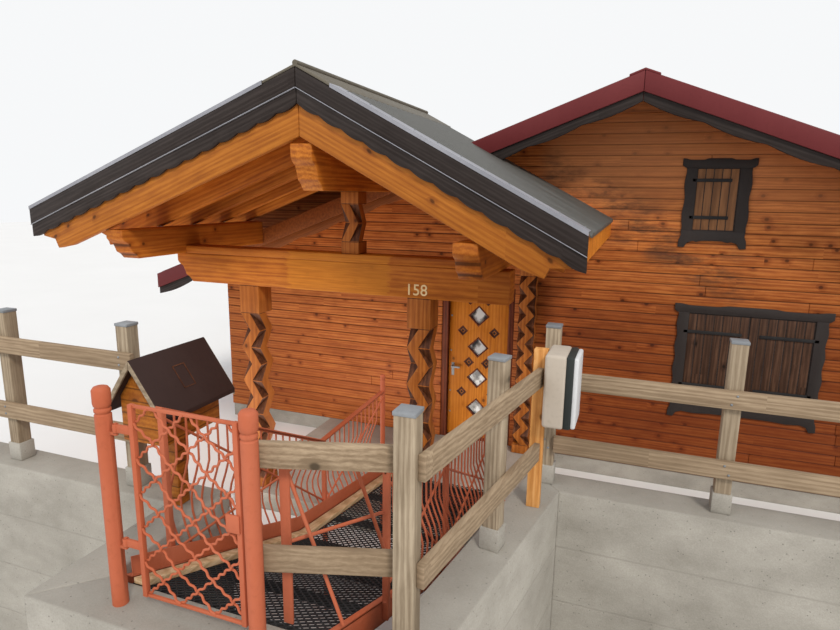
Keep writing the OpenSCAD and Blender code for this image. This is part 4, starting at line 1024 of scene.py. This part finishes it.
for label, out in (("left", -1), ("right", 1)):
    line = railings[label]
    middle = gangway[label] + out * 0.02
    rail = Solids()
    rail.drawn(band(line, 0.0, 0.012), "x", middle - 0.022, middle + 0.022)
    rail.drawn(band(line, -0.012, 0.03), "x", middle - 0.006, middle + 0.006)
    for y, base in ((line[0][0], deckAt(line[0][0]) - 0.06), (line[1][0], 0.0)):
        rail.box((middle - 0.016, y, base), (middle + 0.016, y + 0.032, lineAt(line, y + 0.032) - 0.004))
    foot, top = (middle, line[2][0] - 0.02), line[2][1] + 0.16
    rail.turned(foot, [(0.024, 0.0), (0.024, top - 0.06), (0.019, top - 0.052), (0.024, top - 0.044),
                       (0.024, top - 0.008), (0.018, top)])
    rail.made(label + "Railing", bevel=0.002, replaces=("railing_" + label,), **steel)
    paths = []
    count = int((line[2][0] - line[0][0] - 0.12) / railings["step"])
    for i in range(count):
        y = line[0][0] + 0.06 + (i + 0.5) * railings["step"]
        low, high = deckAt(y) + 0.035, lineAt(line, y) - 0.02
        path = []
        for k in range(11):
            t = k / 10
            swell = math.sin(math.pi * min(1.0, t / 0.72)) ** 1.5 if t < 0.72 else 0.0
            path.append((middle + out * railings["belly"] * swell, y, low + (high - low) * t))
        paths.append(path)
    rods(label + "RailingBars", paths, railings["rod"], sides=6, **steel)
    lower = [(middle, y, deckAt(y) + 0.05) for y in (line[0][0], *gangway["y"][1:])]
    spans = [(line[0][0] + 0.03, line[1][0]), (line[1][0] + 0.03, line[2][0] - 0.03)]
    rising = [[(middle - out * 0.012, a, deckAt(a) + 0.1), (middle - out * 0.012, b, lineAt(line, b) - 0.06)]
              for a, b in spans]
    falling = [[(middle + out * 0.004, a, lineAt(line, a) - 0.06), (middle + out * 0.004, b, deckAt(b) + 0.1)]
               for a, b in spans]
    rods(label + "RailingRods", [lower] + rising + falling, 0.008, **steel)

# The right handrail starts at a flat post beside the gate: its upper rod and three braces
flat = {"x": -1.24, "half": 0.024, "low": 1.606, "high": 2.345, "y": (-7.475, -7.463), "rod": 0.009,
        "rods": [[(-1.24, -7.455, 2.365), (-0.98, -6.98, 2.185)], [(-1.235, -7.455, 2.33), (-0.99, -7.43, 1.64)],
                 [(-0.98, -7.3, 2.31), (-0.98, -6.98, 1.71)], [(-1.235, -7.455, 2.0), (-0.98, -6.96, 1.94)]]}
outline = [(flat["x"] - flat["half"], flat["low"]), (flat["x"] + flat["half"], flat["low"])]
outline += [(flat["x"] + flat["half"] * math.cos(t), flat["high"] + flat["half"] * math.sin(t))
            for t in (math.pi * i / 8 for i in range(9))]
endPost = Solids()
endPost.drawn(outline, "y", *flat["y"])
endPost.made("railingEndPost", bevel=0.002, **steel)
rods("railingEndRods", flat["rods"], flat["rod"], sides=10, **steel)
print("railings made")

# Gate: grooved posts and a tube frame that holds crimped wires
gate = {"y": -7.63, "left": -1.898, "right": -1.338, "low": 1.68, "high": 2.60, "tube": 0.024, "bar": 0.014,
        "wire": 0.0056, "cell": (0.186, 0.165), "crimp": 0.005, "bends": 2.5, "pin": -1.984,
        "wires": (-8, 12), "fine": 12, "hinges": (1.93, 2.48), "sleeve": (-0.0216, 0.016),
        "bore": 0.0084, "round": 0.014, "latchZ": (2.12, 2.2)}
eased("gate_posts", finish["orangeSteel"], 0.0)
tube = Solids()
half, thin = gate["tube"] / 2, gate["bar"] / 2
left, right = gate["left"] + gate["tube"], gate["right"] - gate["tube"]
for x0, x1, z0, z1, thick in ((gate["left"], left, gate["low"], gate["high"], half),
                              (right, gate["right"], gate["low"], gate["high"], half),
                              (left, right, gate["low"], gate["low"] + gate["bar"], thin),
                              (left, right, gate["high"] - gate["bar"], gate["high"], thin)):
    tube.box((x0, gate["y"] - thick, z0), (x1, gate["y"] + thick, z1))
for z in gate["hinges"]:
    low, high = (z + end for end in gate["sleeve"])
    tube.box((gate["pin"] + 0.010, gate["y"] - 0.007, low), (gate["left"] + 0.004, gate["y"] + 0.007, high))
    ring = [(gate["bore"], low), (gate["round"], low), (gate["round"], high), (gate["bore"], high)]
    tube.turned((gate["pin"], gate["y"]), ring, 24, True)
tube.box((gate["right"] - 0.07, gate["y"] - 0.022, gate["latchZ"][0]),
         (gate["right"] - 0.004, gate["y"] - half, gate["latchZ"][1]))
tube.made("gateFrame", bevel=0.0018, body="gate", replaces=("gate_leaf",), **steel)


def crimpedWires(s):
    low = (s["left"] + s["tube"] - 0.004, s["low"] + s["bar"] - 0.004)
    high = (s["right"] - s["tube"] + 0.004, s["high"] - s["bar"] + 0.004)
    wide, tall = s["cell"]
    edge = math.hypot(wide, tall)
    paths = []
    for lean in (1, -1):
        for k in range(*s["wires"]):
            path = []
            for i in range(s["fine"] ** 2):
                t = i / s["fine"]
                sway = s["crimp"] * math.sin(math.pi * (2 * s["bends"] * t + 0.5))
                x = low[0] + k * wide + lean * (t * wide / 2 - sway * tall / edge)
                z = low[1] + t * tall / 2 + sway * wide / edge
                if low[0] <= x <= high[0] and low[1] <= z <= high[1]:
                    path.append((x, s["y"] + lean * 0.0045 * math.cos(math.pi * t), z))
                elif path:
                    break
            if len(path) > 3:
                paths.append(path)
    return paths


rods("gateWires", crimpedWires(gate), gate["wire"], body="gate", **steel)
print("gate made")

# Fence: eased posts with zinc caps and feet, rails with bolts
fence = {"z": 1.6, "corner": (-0.69, -7.44), "turn": (-0.38, -5.64), "side": (-0.535, -6.54), "lean": -9.77,
         "bay": 1.07, "left": (-2.87, -6.69),
         "turnBolts": ((0.27, 0.015), (0.325, -0.012), (0.71, -0.015), (0.765, 0.012)),
         "leftBolts": ((0.36, 0), (0.41, 0), (0.83, 0), (0.88, 0))}
eased("fence_posts", finish["fenceZ"], 0.006)
rails = eased("fence_rails", finish["fenceX"], 0.005)
for vertex in rails.data.vertices:
    if vertex.co.x > fence["corner"][0] + 0.04 and vertex.co.y < -7.34:
        vertex.co += Vector((-0.0144, -0.0838, 0.0))
postPlaces = [(fence["corner"], 0.0), (fence["side"], math.radians(fence["lean"]))]
bolts = []
for start, way, count, levels in ((fence["turn"], 1, 6, fence["turnBolts"]),
                                  (fence["left"], -1, 4, fence["leftBolts"])):
    for x in (start[0] + way * i * fence["bay"] for i in range(count)):
        postPlaces.append(((x, start[1]), 0.0))
        bolts += [((x + aside, start[1] - 0.082, fence["z"] + level), (0, -1, 0)) for level, aside in levels]


def onPosts(name, places, half, low, high, material, bevel, slot=None):
    solids = Solids()
    for (x, y), turn in places:
        c, s = half * math.cos(turn), half * math.sin(turn)
        ring = [(x + a * c - b * s, y + a * s + b * c) for a, b in corners(-1, -1, 1, 1)]
        solids.drawn(ring, "z", fence["z"] + low, fence["z"] + high)
    solids.made(name, material, bevel, slot=slot)


onPosts("fenceCaps", postPlaces, 0.049, 1.066, 1.084, finish["zinc"], 0.003)
onPosts("fenceFeet", postPlaces[1:], 0.056, -0.002, 0.13, finish["concrete"], 0.006, "concrete")
studs("fenceBolts", bolts, 0.008, 0.006, finish["zinc"])
eased("retaining_wall", finish["concrete"], 0.008)
print("fence dressed")

# Letterboxes
eased("letterbox_hut", finish["hutX"], 0.004)
eased("letterbox_roof", finish["hutRoof"], 0.003)
parcel = {"x": -0.40, "y": -6.01, "z": 1.6, "top": 1.01, "high": 0.44}


def parcelPiece(name, x0, x1, half, low, tuck, look, ease, segments, slot, replaces=()):
    solids, high = Solids(), parcel["z"] + parcel["top"]
    solids.box((parcel["x"] + x0, parcel["y"] - half + tuck, low + tuck),
               (parcel["x"] + x1, parcel["y"] + half - tuck, high - tuck))
    solids.made(name, finish[look], ease, slot=slot, replaces=replaces, segments=segments)


lowZ = parcel["z"] + parcel["top"] - parcel["high"]
parcelPiece("parcelPost", -0.04, 0.04, 0.03, parcel["z"], 0.0, "paleZ", 0.004, 2, "beam_timber",
            ("parcel_box",))
parcelPiece("parcelCase", 0.04, 0.165, 0.14, lowZ, 0.0, "parcelGrey", 0.02, 4, "parcel_steel")
parcelPiece("parcelBand", 0.158, 0.205, 0.14, lowZ, 0.004, "parcelDark", 0.012, 4, "parcel_steel")
parcelPiece("parcelDoor", 0.200, 0.230, 0.14, lowZ, 0.010, "parcelPale", 0.012, 4, "parcel_steel")

# The hut has grey edge boards at its gables and a thin raised frame on its street slope
hut = {"x": -2.46, "y": -6.785, "top": 2.56, "pitch": math.tan(math.radians(55)), "half": 0.22, "end": 0.305,
       "frameDown": (0.066, 0.15), "frameY": (-6.84, -6.745), "line": (0.003, 0.005)}
edges, frameLine = Solids(), Solids()
for y in (hut["y"] - hut["end"] - 0.004, hut["y"] + hut["end"] - 0.012):
    for side in (-1, 1):
        a, b = hut["x"] + side * 0.002, hut["x"] + side * (hut["half"] - 0.004)
        za, zb = hut["top"] + 0.022, hut["top"] + 0.022 - hut["pitch"] * (hut["half"] - 0.006)
        edges.drawn([(a, za), (b, zb), (b, zb - 0.045), (a, za - 0.045)], "y", y, y + 0.016)
edges.made("hutEdges", finish["greyX"], 0.003, slot="dark_timber")


def onHutRoof(down, y, lift):
    x = hut["x"] + down
    return (x + lift * 0.82, y, hut["top"] + 0.028 - hut["pitch"] * down + lift * 0.57)


line, (d0, d1), (y0, y1) = hut["line"], hut["frameDown"], hut["frameY"]
for d0, d1, y0, y1 in ((d0, d0 + line[0], y0, y1), (d1 - line[0], d1, y0, y1), (d0, d1, y0, y0 + line[1]),
                       (d0, d1, y1 - line[1], y1)):
    frameLine.between(*[[onHutRoof(d, y, lift) for d, y in corners(d0, y0, d1, y1)]
                        for lift in (-0.003, 0.003)])
frameLine.made("hutFrame", finish["darkTimberZ"], slot="dark_timber")
print("letterboxes dressed")

# Stage: pale floor, soft lamps, white behind
stageSettings = {"half": 60.0, "world": 0.85, "sun": 1.9}
paint = Paint("paleFloor")
soft = paint.noise(paint.place, 0.4, 3, 0.5)
paint.surface(paint.ramp(soft, [(0.3, (0.72, 0.71, 0.69)), (0.7, (0.74, 0.73, 0.71))]), 0.8 + soft * 0.1,
              paint.relief(soft, 0.01, 0.1))
floorData = bpy.data.meshes.new("floor")
size = stageSettings["half"]
floorData.from_pydata([(*c, -0.001) for c in corners(-size, -size, size, size)], [], [(0, 1, 2, 3)])
floorData.materials.append(paint.material)
linked("floor", floorData)

world = bpy.data.worlds.new("studio")
bpy.context.scene.world = world
world.use_nodes = True
sky = world.node_tree
sky.nodes.clear()
path, lit, seen, either, through, mixed, out = (sky.nodes.new("ShaderNode" + kind) for kind in (
    "LightPath", "Background", "Background", "Math", "Math", "MixShader", "OutputWorld"))
for shade, colour, power in ((lit, (0.92, 0.95, 1.0, 1), stageSettings["world"]),
                             (seen, (0.93, 0.94, 0.95, 1), 1.0)):
    shade.inputs[0].default_value = colour
    shade.inputs[1].default_value = power
either.operation = through.operation = "MAXIMUM"
for source, target in ((path.outputs["Is Camera Ray"], either.inputs[0]),
                       (path.outputs["Is Glossy Ray"], either.inputs[1]), (either.outputs[0], through.inputs[0]),
                       (path.outputs["Is Transmission Ray"], through.inputs[1]),
                       (through.outputs[0], mixed.inputs[0]), (lit.outputs[0], mixed.inputs[1]),
                       (seen.outputs[0], mixed.inputs[2]), (mixed.outputs[0], out.inputs[0])):
    sky.links.new(source, target)


def lamp(name, kind, turn, energy, colour, place=(0, 0, 0), **more):
    data = bpy.data.lights.new(name, kind)
    data.energy = energy
    data.color = colour
    for key, value in more.items():
        setattr(data, key, value)
    made = linked(name, data)
    made.location = place
    made.rotation_euler = [math.radians(a) for a in turn]
    made.visible_camera = kind == "SUN"


# Snow and pale ground throw light up under the porch roof: two broad low lamps stand in for them
lamp("porchBounce", "AREA", (160, 0, 0), 40, (1.0, 0.93, 0.84), (-3.0, -3.3, 0.35),
     shape="RECTANGLE", size=2.2, size_y=1.4)
lamp("slopeBounce", "AREA", (168, 8, 0), 62, (1.0, 0.95, 0.88), (-4.6, -5.5, 0.4),
     shape="RECTANGLE", size=2.0, size_y=1.6)
lamp("keyLamp", "SUN", (48, 0, 38), stageSettings["sun"], (1.0, 0.96, 0.90), angle=math.radians(12))
lamp("fillLamp", "SUN", (62, 0, -50), 0.55, (0.95, 0.97, 1.0), angle=math.radians(40))
bpy.context.scene.view_settings.view_transform = "Standard"
print("stage set")
